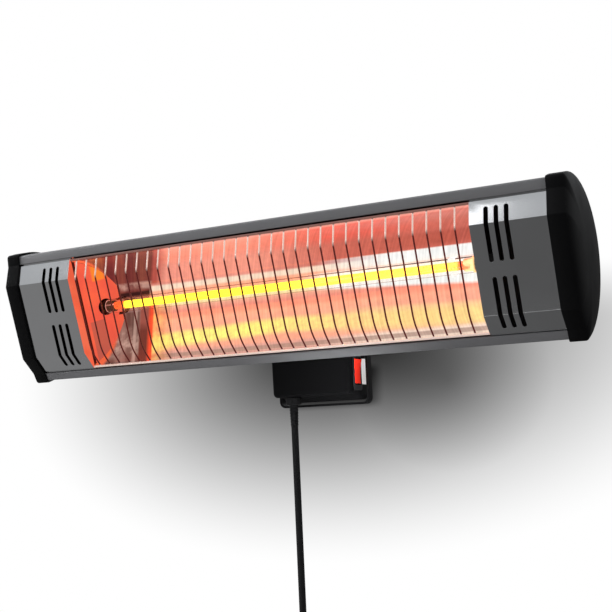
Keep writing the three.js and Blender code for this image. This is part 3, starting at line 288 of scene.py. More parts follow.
def axes_of(direction):
    side = Vector((0, 0, 1)) if abs(direction.z) < 0.9 else Vector((1, 0, 0))
    u = side.cross(direction).normalized()
    return u, direction.cross(u).normalized()


def round_ring(centre, u, w, radius, sides):
    return [centre + (u * math.cos(a) + w * math.sin(a)) * radius for a in turns(sides)]


def lathe(centre, direction, profile, sides=48):
    """Profile of (radius, distance) pairs turned about a line. Radii of 0 close the ends."""
    direction = Vector(direction).normalized()
    u, w = axes_of(direction)
    least = MERGE / MM
    return loft([round_ring(Vector(centre) + direction * along, u, w, max(radius, least), sides)
                 for radius, along in profile])


def tube(points, radius, sides=12):
    """Round bar along points, its section carried along without twisting."""
    points = [Vector(p) for p in points]
    tangents = []
    for i, point in enumerate(points):
        into = point - points[max(i - 1, 0)]
        out = points[min(i + 1, len(points) - 1)] - point
        tangents.append((into.normalized() + out.normalized()).normalized())
    u, _ = axes_of(tangents[0])
    rings = []
    for point, tangent in zip(points, tangents):
        u = (u - u.dot(tangent) * tangent).normalized()
        rings.append(round_ring(point, u, tangent.cross(u), radius, sides))
    return loft(rings)


def prism(outline, axis, low, high):
    """Outline of (a, b) pairs swept along an axis. The pairs go to the other two axes in order."""
    def place(a, b, far):
        point = [a, b]
        point.insert("xyz".index(axis), far)
        return Vector(point)

    return loft([[place(a, b, far) for a, b in outline] for far in (low, high)])


def rounded(corners, radii, steps=6, closed=True):
    """Outline with each corner replaced by an arc of its radius."""
    count = len(corners)
    radii = radii if isinstance(radii, (list, tuple)) else [radii] * count
    points = []
    for i, corner in enumerate(corners):
        here = Vector(corner)
        if not closed and i in (0, count - 1) or radii[i] == 0:
            points.append(tuple(here))
            continue
        before = (Vector(corners[i - 1]) - here).normalized()
        after = (Vector(corners[(i + 1) % count]) - here).normalized()
        half = math.acos(max(-1, min(1, before.dot(after)))) / 2
        reach = radii[i] / math.tan(half)
        centre = here + (before + after).normalized() * (radii[i] / math.sin(half))
        start = here + before * reach - centre
        end = here + after * reach - centre
        sweep = start.angle_signed(end)
        for k in range(steps + 1):
            points.append(tuple(centre + Matrix.Rotation(-sweep * k / steps, 2) @ start))
    return points


def rectangle(low_a, high_a, low_b, high_b):
    return [(low_a, low_b), (high_a, low_b), (high_a, high_b), (low_a, high_b)]


def block(low, high):
    x, y, z = zip(low, high)
    return prism(rectangle(*x, *y), "z", *z)


def disc(radius, low, high):
    return [(0, low), (radius, low), (radius, high), (0, high)]


def washer(bore, radius, low, high, edge=0.0):
    """Profile of a flat ring, its outer edges perhaps chamfered."""
    rim = [(radius - edge, low), (radius, low + edge), (radius, high - edge), (radius - edge, high)]
    return [(bore, low), *(rim if edge else [rim[0], rim[3]]), (bore, high), (bore, low)]


def in_casing(shape):
    return [CASING @ Vector(v) for v in shape[0]], shape[1]


def along_x(outline, low, high):
    """Outline of (depth, up) swept along the casing, in its own coordinates."""
    return prism(outline, "x", low, high)


def paint_faces(piece, material, picks):
    """Gives a material to the faces that picks(centre, normal) is true for, in the casing's frame."""
    mesh = piece.data
    mesh.materials.append(material)
    back = CASING.inverted()
    turn = back.to_3x3()
    for face in mesh.polygons:
        if picks(back @ (face.center / MM), turn @ face.normal):
            face.material_index = len(mesh.materials) - 1


# ---- Materials. A colour of three numbers is in display values of 0 to 255 ----
def rgb(red, green, blue):
    parts = [c / 255 for c in (red, green, blue)]
    return tuple(c / 12.92 if c <= 0.04045 else ((c + 0.055) / 1.055) ** 2.4 for c in parts) + (1.0,)


def shade(colour, factor):
    return tuple(c * factor for c in colour[:3]) + (1.0,)


def grey(value):
    return (value, value, value, 1)


class Nodes:
    """A node tree, with short names for the nodes that are used most."""

    def __init__(self, owner):
        owner.use_nodes = True
        self.owner = owner
        self.tree = owner.node_tree

    def feed(self, sockets):
        """Sets each socket to its value, or links it to the socket that is given for it."""
        for socket, value in sockets:
            if isinstance(value, bpy.types.NodeSocket):
                self.tree.links.new(value, socket)
            else:
                socket.default_value = value

    def add(self, kind, inputs=None, **settings):
        node = self.tree.nodes.new("ShaderNode" + kind)
        for key, value in settings.items():
            setattr(node, key, value)
        self.feed((node.inputs[key], value) for key, value in (inputs or {}).items())
        return node

    def math(self, operation, *terms, clamp=False):
        return self.add("Math", dict(enumerate(terms)), operation=operation, use_clamp=clamp).outputs[0]

    def product(self, *factors):
        result = factors[0]
        for factor in factors[1:]:
            result = self.math("MULTIPLY", result, factor)
        return result

    def leaned(self, value, other, slope):
        """value + slope * other"""
        return self.math("MULTIPLY_ADD", other, slope, value)

    def length(self, x, y):
        place = self.add("CombineXYZ", {"X": x, "Y": y}).outputs[0]
        return self.add("VectorMath", {0: place}, operation="LENGTH").outputs["Value"]

    def between(self, value, low, high, start=0.3, end=0.7, curve="LINEAR"):
        inputs = {"Value": value, "From Min": start, "From Max": end, "To Min": low, "To Max": high}
        return self.add("MapRange", inputs, interpolation_type=curve).outputs["Result"]

    def reach(self, value, start, end):
        """0 to 1 as value goes from start to end."""
        return self.between(value, 0, 1, start, end)

    def band(self, value, centre, half, soft):
        """1 where value is within half of centre, falling to 0 over the soft edge."""
        away = self.math("ABSOLUTE", self.math("SUBTRACT", value, centre))
        return self.between(away, 0, 1, half + soft, half, "SMOOTHSTEP")

    def mix(self, factor, first, second, blend="MIX"):
        first, second = (rgb(*c) if isinstance(c, tuple) and len(c) == 3 else c for c in (first, second))
        inputs = {"Factor": factor, 6: first, 7: second}
        return self.add("Mix", inputs, data_type="RGBA", blend_type=blend).outputs[2]

    def over(self, under, *layers):
        """Colours laid one over the other, each followed by the masks that it shows through."""
        for colour, *masks in layers:
            under = self.mix(self.product(*masks), under, colour)
        return under

    def place(self, kind="Object"):
        return self.add("TexCoord").outputs[kind]

    def stretched(self, scale, vector=None):
        inputs = {"Vector": vector or self.place(), "Scale": scale}
        return self.add("Mapping", inputs).outputs["Vector"]

    def noise(self, scale, detail=3.0, vector=None):
        inputs = {"Vector": vector or self.place(), "Scale": scale, "Detail": detail, "Roughness": 0.55}
        return self.add("TexNoise", inputs).outputs["Fac"]

    def casing(self):
        """The casing's coordinates in metres, and its along, depth and up in millimetres."""
        inputs = {"Vector": self.place(), "Location": FACE_CENTRE * MM, "Rotation": (TILT, 0, 0)}
        local = self.add("Mapping", inputs, vector_type="TEXTURE").outputs["Vector"]
        scaled = self.add("VectorMath", {0: local, "Scale": 1 / MM}, operation="SCALE").outputs[0]
        return local, *self.add("SeparateXYZ", {"Vector": scaled}).outputs


class Paint(Nodes):
    """A new material whose shader's inputs are set by name."""

    def __init__(self, name, **inputs):
        super().__init__(bpy.data.materials.new(name))
        self.shader = self.tree.nodes["Principled BSDF"]
        self.set(**inputs)

    def set(self, **inputs):
        self.feed((self.shader.inputs[key.replace("_", " ")], value) for key, value in inputs.items())

    def glow(self, colour, strength):
        self.set(Emission_Color=colour, Emission_Strength=strength)

    def bump(self, height, strength, distance):
        inputs = {"Height": height, "Strength": strength, "Distance": distance}
        self.set(Normal=self.add("Bump", inputs).outputs["Normal"])


def grained(name, colour, rough, metal=0.0, grain=1800, depth=0.1, spread=0.12, specular=0.5, coat=0.0,
            streak=None):
    """Colour with slow blotches and fine grain, roughness that wanders, and a bump of the same grain."""
    paint = Paint(name, Metallic=metal, Specular_IOR_Level=specular, Coat_Weight=coat, Coat_Roughness=0.15)
    blotch = paint.noise(24, 2)
    fine = paint.noise(grain, 2, paint.stretched(streak) if streak else None)
    tones = []
    for factor, part in ((paint.between(blotch, 0, 1), spread),
                         (paint.between(fine, 0, 1, 0.35, 0.65), spread * 0.7)):
        tones.append(paint.mix(factor, shade(rgb(*colour), 1 - part), shade(rgb(*colour), 1 + part)))
    paint.set(Base_Color=paint.mix(0.5, *tones),
              Roughness=paint.between(blotch, rough * 0.85, min(rough * 1.15, 1)))
    paint.bump(fine, depth, 0.0002)
    return paint.owner


def mirror_painted_glow(name):
    """The trough: mirror sheet with the tube's light painted on as glowing bands, painted dull and darker at
    its left end.
    """
    paint = Paint(name, Metallic=1.0, Roughness=0.25)
    mix, over, reach, band = paint.mix, paint.over, paint.reach, paint.band
    local, along, depth, up = paint.casing()
    level = paint.leaned(along, depth, 0.669)
    edge = paint.leaned(level, up, -0.33)
    grain = paint.add("CombineXYZ", {"X": paint.leaned(level, up, -0.255), "Y": depth, "Z": up}).outputs[0]
    lines = paint.stretched((0.42, 0.005, 0.005), grain)
    fine = paint.noise(1, 3, lines)
    coarse = paint.noise(0.16, 2, lines)
    mottle = paint.between(paint.noise(150, 3, local), 0, 1, 0.35, 0.65)
    right = reach(along, -30, 70)
    far_right = reach(along, 40, 120)

    # Painted reflection of the tube's glow on the trough's walls.
    upper = over(mix(right, (248, 146, 124), (230, 98, 82)), ((206, 106, 90), reach(along, 110, 190)))
    wall = over(
        mix(right, (242, 154, 136), (203, 105, 91)),
        ((186, 90, 76), reach(along, 80, 190), band(up, 28, 4, 6)),
        (upper, reach(up, 35, 45)),
        ((236, 158, 142), reach(up, 56, 59)))
    under = paint.leaned(up, along, 0.055)
    yellow = paint.leaned(up, paint.math("ABSOLUTE", along), 0.028)
    core = mix(right, (254, 250, 134), (254, 222, 146))
    # Painted bands of the tube's glow: pale and yellow ones along the tube, a pale lip along the bottom and a
    # darker line at its edge.
    colour = over(
        rgb(252, 174, 147),
        ((251, 148, 128), band(up, -20, 2, 5), 0.8),
        (wall, reach(up, 8, 10)),
        ((255, 226, 200), band(up, 11, 1.5, 3)),
        ((255, 255, 252), band(up, 12, 5, 2), far_right),
        ((254, 238, 176), band(up, -6, 3, 4)),
        ((255, 255, 250), reach(under, -10.5, -7.5), reach(up, 6, 5), reach(along, 20, 60)),
        ((252, 206, 152), band(yellow, -40, 7, 5), far_right),
        (core, band(yellow, -40.5, 3, 6), mix(mottle, grey(0.75), grey(1))),
        (mix(far_right, (222, 164, 150), (244, 218, 198)), reach(up, -52.5, -55)),
        ((164, 134, 122), band(up, -57, 0.9, 0.9), 0.8))

    # Painted dull reflection at the left end, with painted pale streaks and painted dark lines.
    wisps = paint.between(paint.noise(70, 3, local), 0.2, 1, 0.42, 0.58)
    maroon = mix(reach(up, -34, -24), (118, 58, 48), (158, 86, 74))
    dark = mix(paint.between(coarse, 0, 1, 0.4, 0.62), (104, 46, 46), (138, 72, 60))
    dull = over(
        mix(paint.between(coarse, 0, 1, 0.42, 0.6), (104, 70, 62), (146, 110, 100)),
        ((186, 152, 138), band(up, -43, 5, 12), wisps),
        ((161, 124, 118), band(up, -10, 2, 2), wisps),
        (maroon, reach(edge, -144, -141)),
        (dark, reach(up, 0, 8)),
        ((190, 144, 130), band(up, 16.5, 2, 4), wisps),
        ((58, 30, 28), band(up, 7.5, 1, 2.5)),
        ((196, 160, 146), band(edge, -148.5, 1.5, 1.5), reach(up, -8, -12), 0.7),
        ((240, 104, 66), reach(along, -214, -219)))
    below = reach(up, -3, -7)
    nearly = reach(edge, -96, -122)
    # The painted glow fades through painted orange and red bands into the painted dull end.
    colour = over(
        colour,
        ((178, 82, 72), reach(edge, -112, -124), reach(up, 14, 18)),
        (mix(mottle, (250, 148, 84), (254, 190, 104)), nearly, below, 0.8),
        (core, band(yellow, -43, 3, 6), nearly, 0.6),
        ((250, 84, 52), band(edge, -128, 2.5, 3), below),
        (dull, reach(edge, -128, -132)))

    tone = paint.product(paint.between(fine, 0.86, 1.12), paint.between(mottle, 0.95, 1.05, 0, 1))
    tone = paint.add("CombineColor", {part: tone for part in ("Red", "Green", "Blue")}).outputs["Color"]
    # The painted glow is emitted. The base colour is a near black copy of it.
    lit = mix(1.0, colour, tone, "MULTIPLY")
    paint.glow(lit, 0.94)
    paint.set(Base_Color=mix(0.9, lit, (0.02, 0.01, 0.01, 1)))
    paint.bump(paint.noise(60, 2, local), 0.15, 0.0006)
    return paint.owner


def sheet_painted_glow(name, bright, dull, strength):
    """Sheet beside the tube's end with the tube's orange red light painted on as glow, and duller patches
    painted as reflections of the trough.
    """
    paint = Paint(name, Metallic=1.0, Roughness=0.3)
    reach, band = paint.reach, paint.band
    local, _, depth, up = paint.casing()
    patch = paint.noise(38, 2, local)
    # Painted light: a painted reflection of the lower lip, a painted orange highlight above, and a thin
    # painted dark shade line near the panel's return.
    colour = paint.over(
        paint.mix(paint.between(patch, 0, 0.6, 0.38, 0.62), bright, dull),
        ((178, 94, 80), reach(up, -12, -13), band(depth, 28, 8, 1.5), 0.75),
        ((255, 140, 50), band(up, 40, 7, 3), band(depth, 40, 6, 3)),
        ((58, 20, 16), band(depth, 14, 1.6, 0.4)))
    paint.glow(colour, strength)
    paint.set(Base_Color=paint.mix(0.8, colour, (0.03, 0.01, 0.01, 1)))
    paint.bump(patch, 0.15, 0.0006)
    return paint.owner


def lit_coil(name):
    """The hot wire: yellow along the middle, orange and red where the ends cool it."""
    paint = Paint(name, Roughness=0.6)
    mix, reach = paint.mix, paint.reach
    _, along, _, _ = paint.casing()
    hot = mix(reach(along, -50, 190), (255, 240, 62), (250, 216, 92))
    colour = mix(paint.band(along, 4, 193, 5), (226, 62, 30), hot)
    speckle = paint.product(reach(along, 70, 200), paint.between(paint.noise(420, 2), 0, 1, 0.5, 0.62))
    paint.set(Base_Color=colour)
    colour = mix(speckle, colour, (240, 112, 44))
    paint.glow(mix(paint.between(paint.noise(900, 1), 0, 0.3), colour, (250, 180, 50)), 1.1)
    return paint.owner


def guard_wire(name):
    """Bright drawn wire with painted light: upper slants painted pale as a highlight from above, the rest
    dark red as painted glow from behind.
    """
    paint = Paint(name, Metallic=0.6, Roughness=0.3)
    mix, reach = paint.mix, paint.reach
    up = paint.casing()[3]
    high = reach(up, FACET_HALF - 3, FACET_HALF + 2)
    low = reach(up, 3.6 - SLANT_HALF, 2.8 - SLANT_HALF)
    rod = reach(up, SLANT_HALF - 3.6, SLANT_HALF - 2.8)
    grain = paint.noise(900, 2)
    # Painted light in the base colour: pale upper slants and lower ends, dark red elsewhere.
    colour = mix(high, (74, 26, 28), (222, 210, 202))
    colour = paint.over(colour, ((222, 212, 204), low), ((120, 96, 90), rod))
    paint.set(Base_Color=mix(paint.between(grain, 0, 0.25), colour, (0.2, 0.16, 0.14, 1)))
    # Painted sheen: emission in the same pattern as the base colour.
    painted_sheen = mix(high, (66, 14, 14), (150, 122, 112))
    paint.glow(paint.over(painted_sheen, ((172, 148, 138), low), ((96, 58, 52), rod)), 1.0)
    paint.bump(grain, 0.1, 0.0002)
    return paint.owner


def cap_painted_shade(name):
    """Glazed ceramic at the left end, painted near black as shade, with thin painted pink glints round its
    shoulder and across its face.
    """
    paint = Paint(name, Roughness=0.3, Specular_IOR_Level=0.2)
    _, _, depth, up = paint.casing()
    radius = paint.length(paint.math("SUBTRACT", depth, TUBE_DEPTH), up)
    patch = paint.between(paint.noise(160, 2), 0, 1, 0.44, 0.56)
    # Painted glints: a thin ring and a bar that glow pink.
    ring = paint.product(paint.band(radius, 6.9, 0.3, 0.3), patch)
    bar = paint.product(paint.band(up, 2.4, 0.5, 0.4), paint.reach(radius, 6.5, 5.5))
    painted_glint = paint.math("MAXIMUM", ring, bar)
    paint.set(Base_Color=paint.mix(painted_glint, (14, 12, 12), (236, 176, 166)))
    paint.glow(paint.mix(painted_glint, grey(0), (226, 150, 138)), 0.8)
    paint.bump(paint.noise(900, 2), 0.1, 0.0002)
    return paint.owner


def cap_painted_glow(name):
    """Ceramic at the right end, with the coil's light painted on as glow inside the trough, and painted black
    as shade behind it.
    """
    paint = Paint(name, Roughness=0.4)
    patch = paint.noise(110, 2)
    _, along, _, _ = paint.casing()
    # Painted glow where the cap shows in the trough, and painted black shade from near the window's end
    # outward.
    colour = paint.over(
        paint.mix(paint.between(patch, 0, 1, 0.4, 0.6), (252, 226, 160), (242, 130, 74)),
        ((16, 15, 15), paint.reach(along, WINDOW_HALF - 13, WINDOW_HALF - 11)))
    paint.set(Base_Color=colour)
    paint.glow(colour, 0.85)
    return paint.owner


def clear_tube(name):
    """Quartz: a faint film with a painted warm glow that lets the coil show, its rims drawn by a thin painted
    dark line as shade.
    """
    paint = Paint(name, Roughness=0.04, IOR=1.46, Coat_Weight=0.5)
    mix, reach = paint.mix, paint.reach
    _, along, depth, up = paint.casing()
    right = reach(along, 20, 200)
    behind = paint.math("SUBTRACT", depth, TUBE_DEPTH)
    across = paint.leaned(paint.product(up, math.cos(TUBE_LEAN)), behind, math.sin(TUBE_LEAN))
    clear = paint.product(reach(across, -7.5, -7.1), reach(across, 6.9, 6.5))
    # Painted light: a painted dark shade line along the rims, and a painted warm glow that grows paler to the
    # right.
    line = mix(right, (96, 44, 32), (54, 34, 26))
    rim = mix(reach(across, -1, 1), grey(0.38), mix(right, grey(0.5), grey(0.9)))
    painted_glow_tint = mix(clear, line, mix(right, (246, 170, 130), (255, 240, 210)))
    paint.set(Base_Color=painted_glow_tint)
    paint.glow(painted_glow_tint, 0.7)
    faint = paint.between(paint.noise(240, 2), 0.85, 1.15)
    paint.set(Alpha=paint.product(mix(clear, rim, grey(0.03)), faint))
    return paint.owner


# Name, colour, roughness, metal, grain, bump, spread, specular, coat, streak
FINISHES = {
    "panel": ("panel_paint", (240, 241, 243), 0.11, 1.0, 2600, 0.05, 0.04),
    "shell": ("casing_paint", (112, 112, 114), 0.5, 0.3, 2600, 0.06, 0.05),
    "cap": ("cap_plastic", (9, 9, 10), 0.42, 0, 2400, 0.15, 0.15, 0.12),
    "box": ("box_plastic", (10, 10, 11), 0.5, 0, 2000, 0.3, 0.18, 0.15),
    "knob": ("knob_plastic", (26, 26, 27), 0.55, 0, 1500, 0.4, 0.2, 0.3),
    "bracket": ("bracket_paint", (14, 14, 15), 0.45, 0.1, 1400, 0.25, 0.2, 0.2),
    # Near-black sheet painted as shade, for the backs of the trough and its ends and for the slots' cut
    # faces.
    "inside": ("sheet_back_painted_shade", (12, 12, 12), 0.8, 0, 300, 0.1, 0.2, 0.1),
    "steel": ("clip_steel", (74, 70, 68), 0.14, 1.0, 700, 0.12, 0.1, 0.5, 0, (0.15, 1, 1)),
    "zinc": ("zinc_plate", (150, 152, 154), 0.42, 1.0, 120, 0.1, 0.22),
    "rocker": ("rocker_plastic", (226, 44, 26), 0.22, 0, 800, 0.05, 0.08, 0.5, 0.6),
    "bezel": ("bezel_plastic", (30, 30, 31), 0.4, 0, 1800, 0.25, 0.15, 0.4),
    "plate": ("bare_plate", (226, 222, 222), 0.45, 0.1, 1500, 0.08, 0.04),
    "terminal": ("terminal_plastic", (214, 208, 190), 0.5, 0, 900, 0.15, 0.08),
    "sleeve": ("lead_sleeve", (206, 200, 182), 0.85, 0, 3200, 0.6, 0.12, 0.5, 0, (1, 1, 3)),
    "rubber": ("cord_rubber", (22, 22, 23), 0.62, 0, 1600, 0.3, 0.15, 0.35),
    "tie": ("tie_strap", (34, 34, 36), 0.8, 0, 2600, 0.6, 0.25),
    "brass": ("pin_brass", (206, 172, 98), 0.28, 1.0, 500, 0.1, 0.08, 0.5, 0, (1, 1, 0.2)),
}


def make_materials():
    return {
        **{key: grained(*row) for key, row in FINISHES.items()},
        # The guard's wire, the trough, its ends, the panels' returns, the quartz and the tube caps carry
        # painted light and shade.
        "wire": guard_wire("guard_wire"),
        "mirror": mirror_painted_glow("trough_mirror_painted_glow"),
        "end": sheet_painted_glow("end_sheet_painted_glow", (250, 104, 74), (232, 88, 74), 0.84),
        "return": sheet_painted_glow("return_sheet_painted_glow", (248, 116, 84), (240, 92, 60), 0.85),
        "coil": lit_coil("hot_coil"),
        "quartz": clear_tube("quartz"),
        "cap_painted_glow": cap_painted_glow("tube_cap_painted_glow"),
        "ceramic": cap_painted_shade("tube_cap_painted_shade"),
    }


# ---- Casing outlines, in (depth, up) ----
def back_arc(inset, steps=72):
    reach, half = SHELL_HIGH.y - BACK_START - inset, BODY_HALF - inset
    turn = [math.pi * i / steps for i in range(steps + 1)]
    return [(BACK_START + reach * math.sin(a), half * math.cos(a)) for a in turn]


def mirrored(points):
    return [(a, -b) for a, b in reversed(points)]


def casing_outline(grow, radius):
    """Closed outline of the whole casing, grown outward, its front creases rounded."""
    front = [(-grow, FACET_HALF + grow * 0.25), (SLANT_DEPTH - grow * 0.55, SLANT_HALF + grow * 0.62),
             (RAIL_BACK - grow * 0.6, BODY_HALF + grow)]
    back = back_arc(-grow)
    return rounded([back[-1], *mirrored(front), *front, back[0]], radius, 4, closed=False) + back[1:-1]


def make_shell(material):
    """Round back with a rail along each front edge, whose sheet turns in beside the panels."""
    front, turned = SHELL_LOW.y, SHELL_LOW.y + RETURN_DEPTH
    rail = [(turned, RAIL_HALF), (front, RAIL_HALF), (RAIL_BACK, BODY_HALF), (BACK_START, BODY_HALF)]
    rail = rounded(rail, [0, RAIL_EDGE, RAIL_EDGE, 0], 4, closed=False)
    within = [(turned, RAIL_HALF + RETURN_WALL), (front + SHELL_WALL, RAIL_HALF + RETURN_WALL),
              (RAIL_BACK + SHELL_WALL, BODY_HALF - SHELL_WALL), (BACK_START, BODY_HALF - SHELL_WALL)]
    outer = rail + back_arc(0)[1:-1] + mirrored(rail)
    inner = within + back_arc(SHELL_WALL)[1:-1] + mirrored(within)
    shell = in_casing(along_x(outer + inner[::-1], SHELL_LOW.x, SHELL_HIGH.x))
    hole = lathe(LEAD_HOLE, (0, 1, 0), disc(7, -30, 30), 32)
    make("casing_shell", carve(shell, hole), material, "housing_shell", smooth=28)


def make_cap(name, side, material):
    """Domed lid with a skirt round the casing's end."""
    outline = casing_outline(CAP_PROUD, 3)
    pocket = casing_outline(0.3, 1)
    middle = BACK_START + (SHELL_HIGH.y - BACK_START) / 3
    rim = CAP_INNER + CAP_RIM

    def ring(points, x, shrink=0):
        return [Vector((side * x, middle + (a - middle) * (1 - shrink), b * (1 - shrink))) for a, b in points]

    rings = [ring(pocket, CAP_INNER + CAP_POCKET), ring(pocket, CAP_INNER),
             ring(outline, CAP_INNER, 0.004), ring(outline, CAP_INNER + 0.5), ring(outline, rim)]
    for i in range(1, 15):
        shrink = 0.7 * (i / 14) ** 1.7
        rings.append(ring(outline, rim + CAP_BULGE * math.sqrt(1 - (1 - shrink) ** 4), shrink))
    make(f"cap_{name}", in_casing(loft(rings)), material, f"end_cap_{name}", smooth=32)


def make_cap_screws(material):
    """The screws on the back of each cap, square to its round."""
    for name, _ in SIDES:
        for i in (1, 2):
            node = f"end_cap_screw_{name}_{i}"
            low, high = span(node)
            centre = (low + high) / 2
            depth = (centre.y - BACK_START) / (SHELL_HIGH.y - BACK_START) ** 2
            out = Vector((0, depth, centre.z / BODY_HALF ** 2)).normalized()
            place_screw(f"cap_screw_{name}_{i}", node, material, CASING, out, 3.2)


def place_screw(piece, node, material, matrix, out, head):
    """Pan-head screw with a cross recess, its top at the node's farthest point along out."""
    points = points_of(node, matrix)
    side, other = axes_of(out)
    base = sum(((p.dot(side) * side + p.dot(other) * other) / len(points) for p in points), Vector())
    low, top = min(p.dot(out) for p in points), max(p.dot(out) for p in points)
    under, rim, shank = top - SCREW_HEAD, top - SCREW_HEAD * 0.55, head * 0.42
    profile = [(0, low), (shank, low), (shank, under), (head, under), (head, rim)]
    profile += [(head * (1 - 0.34 * t * t), top + (rim - top) * (1 - t)) for t in (0.3, 0.6, 0.85, 1)]
    profile += [(head * 0.3, top), (head * 0.16, rim), (0, rim)]
    shapes = [lathe(base, out, profile, 32)]
    slot = rectangle(-head * 0.55, head * 0.55, -head * 0.11, head * 0.11)
    for a, b in ((side, other), (other, side)):
        levels = (top - SCREW_HEAD * 0.5, top + SCREW_HEAD)
        shapes.append(loft([[base + out * level + a * p + b * q for p, q in slot] for level in levels]))
    shapes = [([matrix @ v for v in vertices], faces) for vertices, faces in shapes]
    make(piece, carve(*shapes), material, node, smooth=32)


# ---- Front panels ----
def panel_section():
    """Closed section of the bent sheet in (depth, up): two slants and a facet."""
    hook = SLANT_DEPTH + 2 * PANEL_WALL
    upper = [(0, FACET_HALF), (SLANT_DEPTH, SLANT_HALF), (hook, SLANT_HALF)]
    radii = [0, HOOK_RADIUS, CREASE_RADIUS, CREASE_RADIUS, HOOK_RADIUS, 0]
    outer = rounded([*mirrored(upper), *upper], radii, 5, closed=False)
    low = [(hook, SLANT_HALF - PANEL_WALL), (SLANT_DEPTH + 0.35 * PANEL_WALL, SLANT_HALF - PANEL_WALL),
           (PANEL_WALL, FACET_HALF - 0.25 * PANEL_WALL)]
    return outer + low + mirrored(low)


def panel_hook():
    """The sheet's upper edge, turned out behind the rail, as an outline in (depth, up)."""
    start, foot, edge = SLANT_DEPTH + 2 * PANEL_WALL, SLANT_HALF - PANEL_WALL, RAIL_HALF - 0.3
    return [(start, foot), (start, edge), (start + PANEL_HOOK, edge), (start + PANEL_HOOK, edge - PANEL_WALL),
            (start + PANEL_WALL, edge - PANEL_WALL), (start + PANEL_WALL, foot)]


def slot_places(side):
    return [side * (WINDOW_HALF + SLOT_INSET + i * SLOT_PITCH) for i in (-1, 0, 1)]


def slot_tools(side):
    tools = []
    for x in slot_places(side):
        for low, high in ((SLOT_NEAR, SLOT_FAR), (-SLOT_FAR, -SLOT_NEAR)):
            outline = rounded(rectangle(x - SLOT_RADIUS, x + SLOT_RADIUS, low, high), SLOT_RADIUS * 0.99, 8)
            tools.append(in_casing(prism(outline, "y", -2, 12)))
    return tools


def in_slot(side, centre, normal):
    """True for the cut faces inside a slot, in the casing's frame."""
    near = min(abs(centre.x - x) for x in slot_places(side)) < SLOT_RADIUS + 0.1
    return near and abs(normal.y) < 0.2 and SLOT_NEAR - 1 < abs(centre.z) < SLOT_FAR + 1


def in_window(side, centre, normal):
    """True for the faces at the panel's end that look into the window."""
    return normal.x * side < -0.5 and centre.y >= 0.2 and abs(centre.x) <= WINDOW_HALF + 0.2


def make_panel(name, side, material, lit, dark):
    inner, outer = side * WINDOW_HALF, side * (SHELL_HIGH.x - 0.5)
    slotted = carve(in_casing(along_x(panel_section(), inner, outer)), *slot_tools(side))
    edge = SLANT_HALF - PANEL_WALL - 0.1
    flange = [(0.4, FACET_HALF - 0.3), (SLANT_DEPTH, edge), (PANEL_RETURN, edge)]
    wall = along_x([*flange, *mirrored(flange)], inner, inner + side * PANEL_WALL)
    hooks = [along_x(outline, inner, outer) for outline in (panel_hook(), mirrored(panel_hook()))]
    shape = merge(slotted, in_casing(merge(wall, *hooks)))
    panel = make(f"panel_{name}", shape, material, f"front_panel_{name}", smooth=26, bevel=0.15)
    # The faces looking into the window get the painted glow, and the slots' cut faces get the near-black
    # sheet painted as shade.
    paint_faces(panel, lit, lambda centre, normal: in_window(side, centre, normal))
    paint_faces(panel, dark, lambda centre, normal: in_slot(side, centre, normal))


# ---- Guard, trough and heating tube ----
def make_guard(material):
    """Bent wires welded to a rod along the top and one along the bottom."""
    low, high = span("grille")
    crease, end = FACET_HALF - WIRE_RADIUS, SLANT_HALF - GUARD_ROD - WIRE_RADIUS
    depth = WIRE_INSET + SLANT_DEPTH * (end - crease) / (SLANT_HALF - FACET_HALF)
    corners = [(depth, -end), (WIRE_INSET, -crease), (WIRE_INSET, crease), (depth, end)]
    path = rounded(corners, [0, *WIRE_BENDS, 0], 8, closed=False)
    half = int((WINDOW_HALF - abs(WIRE_SHIFT) - WIRE_RADIUS) / WIRE_PITCH)
    shapes = []
    for i in range(-half, half + 1):
        shapes.append(tube([(WIRE_SHIFT + i * WIRE_PITCH, a, b) for a, b in path], WIRE_RADIUS, 14))
    for up in (-1, 1):
        rod = [(x, depth, up * (end + GUARD_ROD / 2)) for x in (low.x, 0, high.x)]
        shapes.append(tube(rod, GUARD_ROD, 14))
    make("guard_wires", in_casing(merge(*shapes)), material, "grille", smooth=50)


def trough_profile(out, steps=28):
    """The trough's section in (depth, up) from its upper lip to its lower one, moved outward."""
    a, b, c = (Vector(p) for p in TROUGH_CURVE)
    points = [Vector(TROUGH_LIP)]
    for i in range(steps + 1):
        t = i / steps
        points.append(a * (1 - t) ** 2 + b * 2 * t * (1 - t) + c * t * t)
    half = []
    for i, point in enumerate(points):
        along = (points[min(i + 1, len(points) - 1)] - points[max(i - 1, 0)]).normalized()
        normal = Vector((-along.y, along.x)) if i < len(points) - 1 else Vector((1, 0.4))
        half.append(point + normal * out)
    floor = [Vector((half[-1].x, half[-1].y * k / 6)) for k in range(5, -1, -1)]
    upper = [tuple(p) for p in half + floor]
    return upper + mirrored(upper)[1:]


def trough_half(depth):
    """Half the trough's length at a depth: its ends lean in towards the back."""
    return min(WINDOW_HALF - 0.3, WINDOW_HALF + TROUGH_REACH - TROUGH_SLOPE * depth)


def make_trough(material, inside):
    """Polished sheet round the tube, open to the front, with a lip along each edge."""
    section = trough_profile(0) + trough_profile(SHEET)[::-1]
    rings = []
    for i in range(49):
        rings.append([Vector(((i / 24 - 1) * trough_half(a), a, b)) for a, b in section])
    sheet = make("trough_sheet", in_casing(loft(rings)), material, "reflector", smooth=40)
    # Faces turned away from the tube get the near-black sheet painted as shade.
    focus = Vector((0, 30, 0))
    paint_faces(sheet, inside, lambda centre, normal: normal.dot(focus - centre * Vector((0, 1, 1))) <= 0)


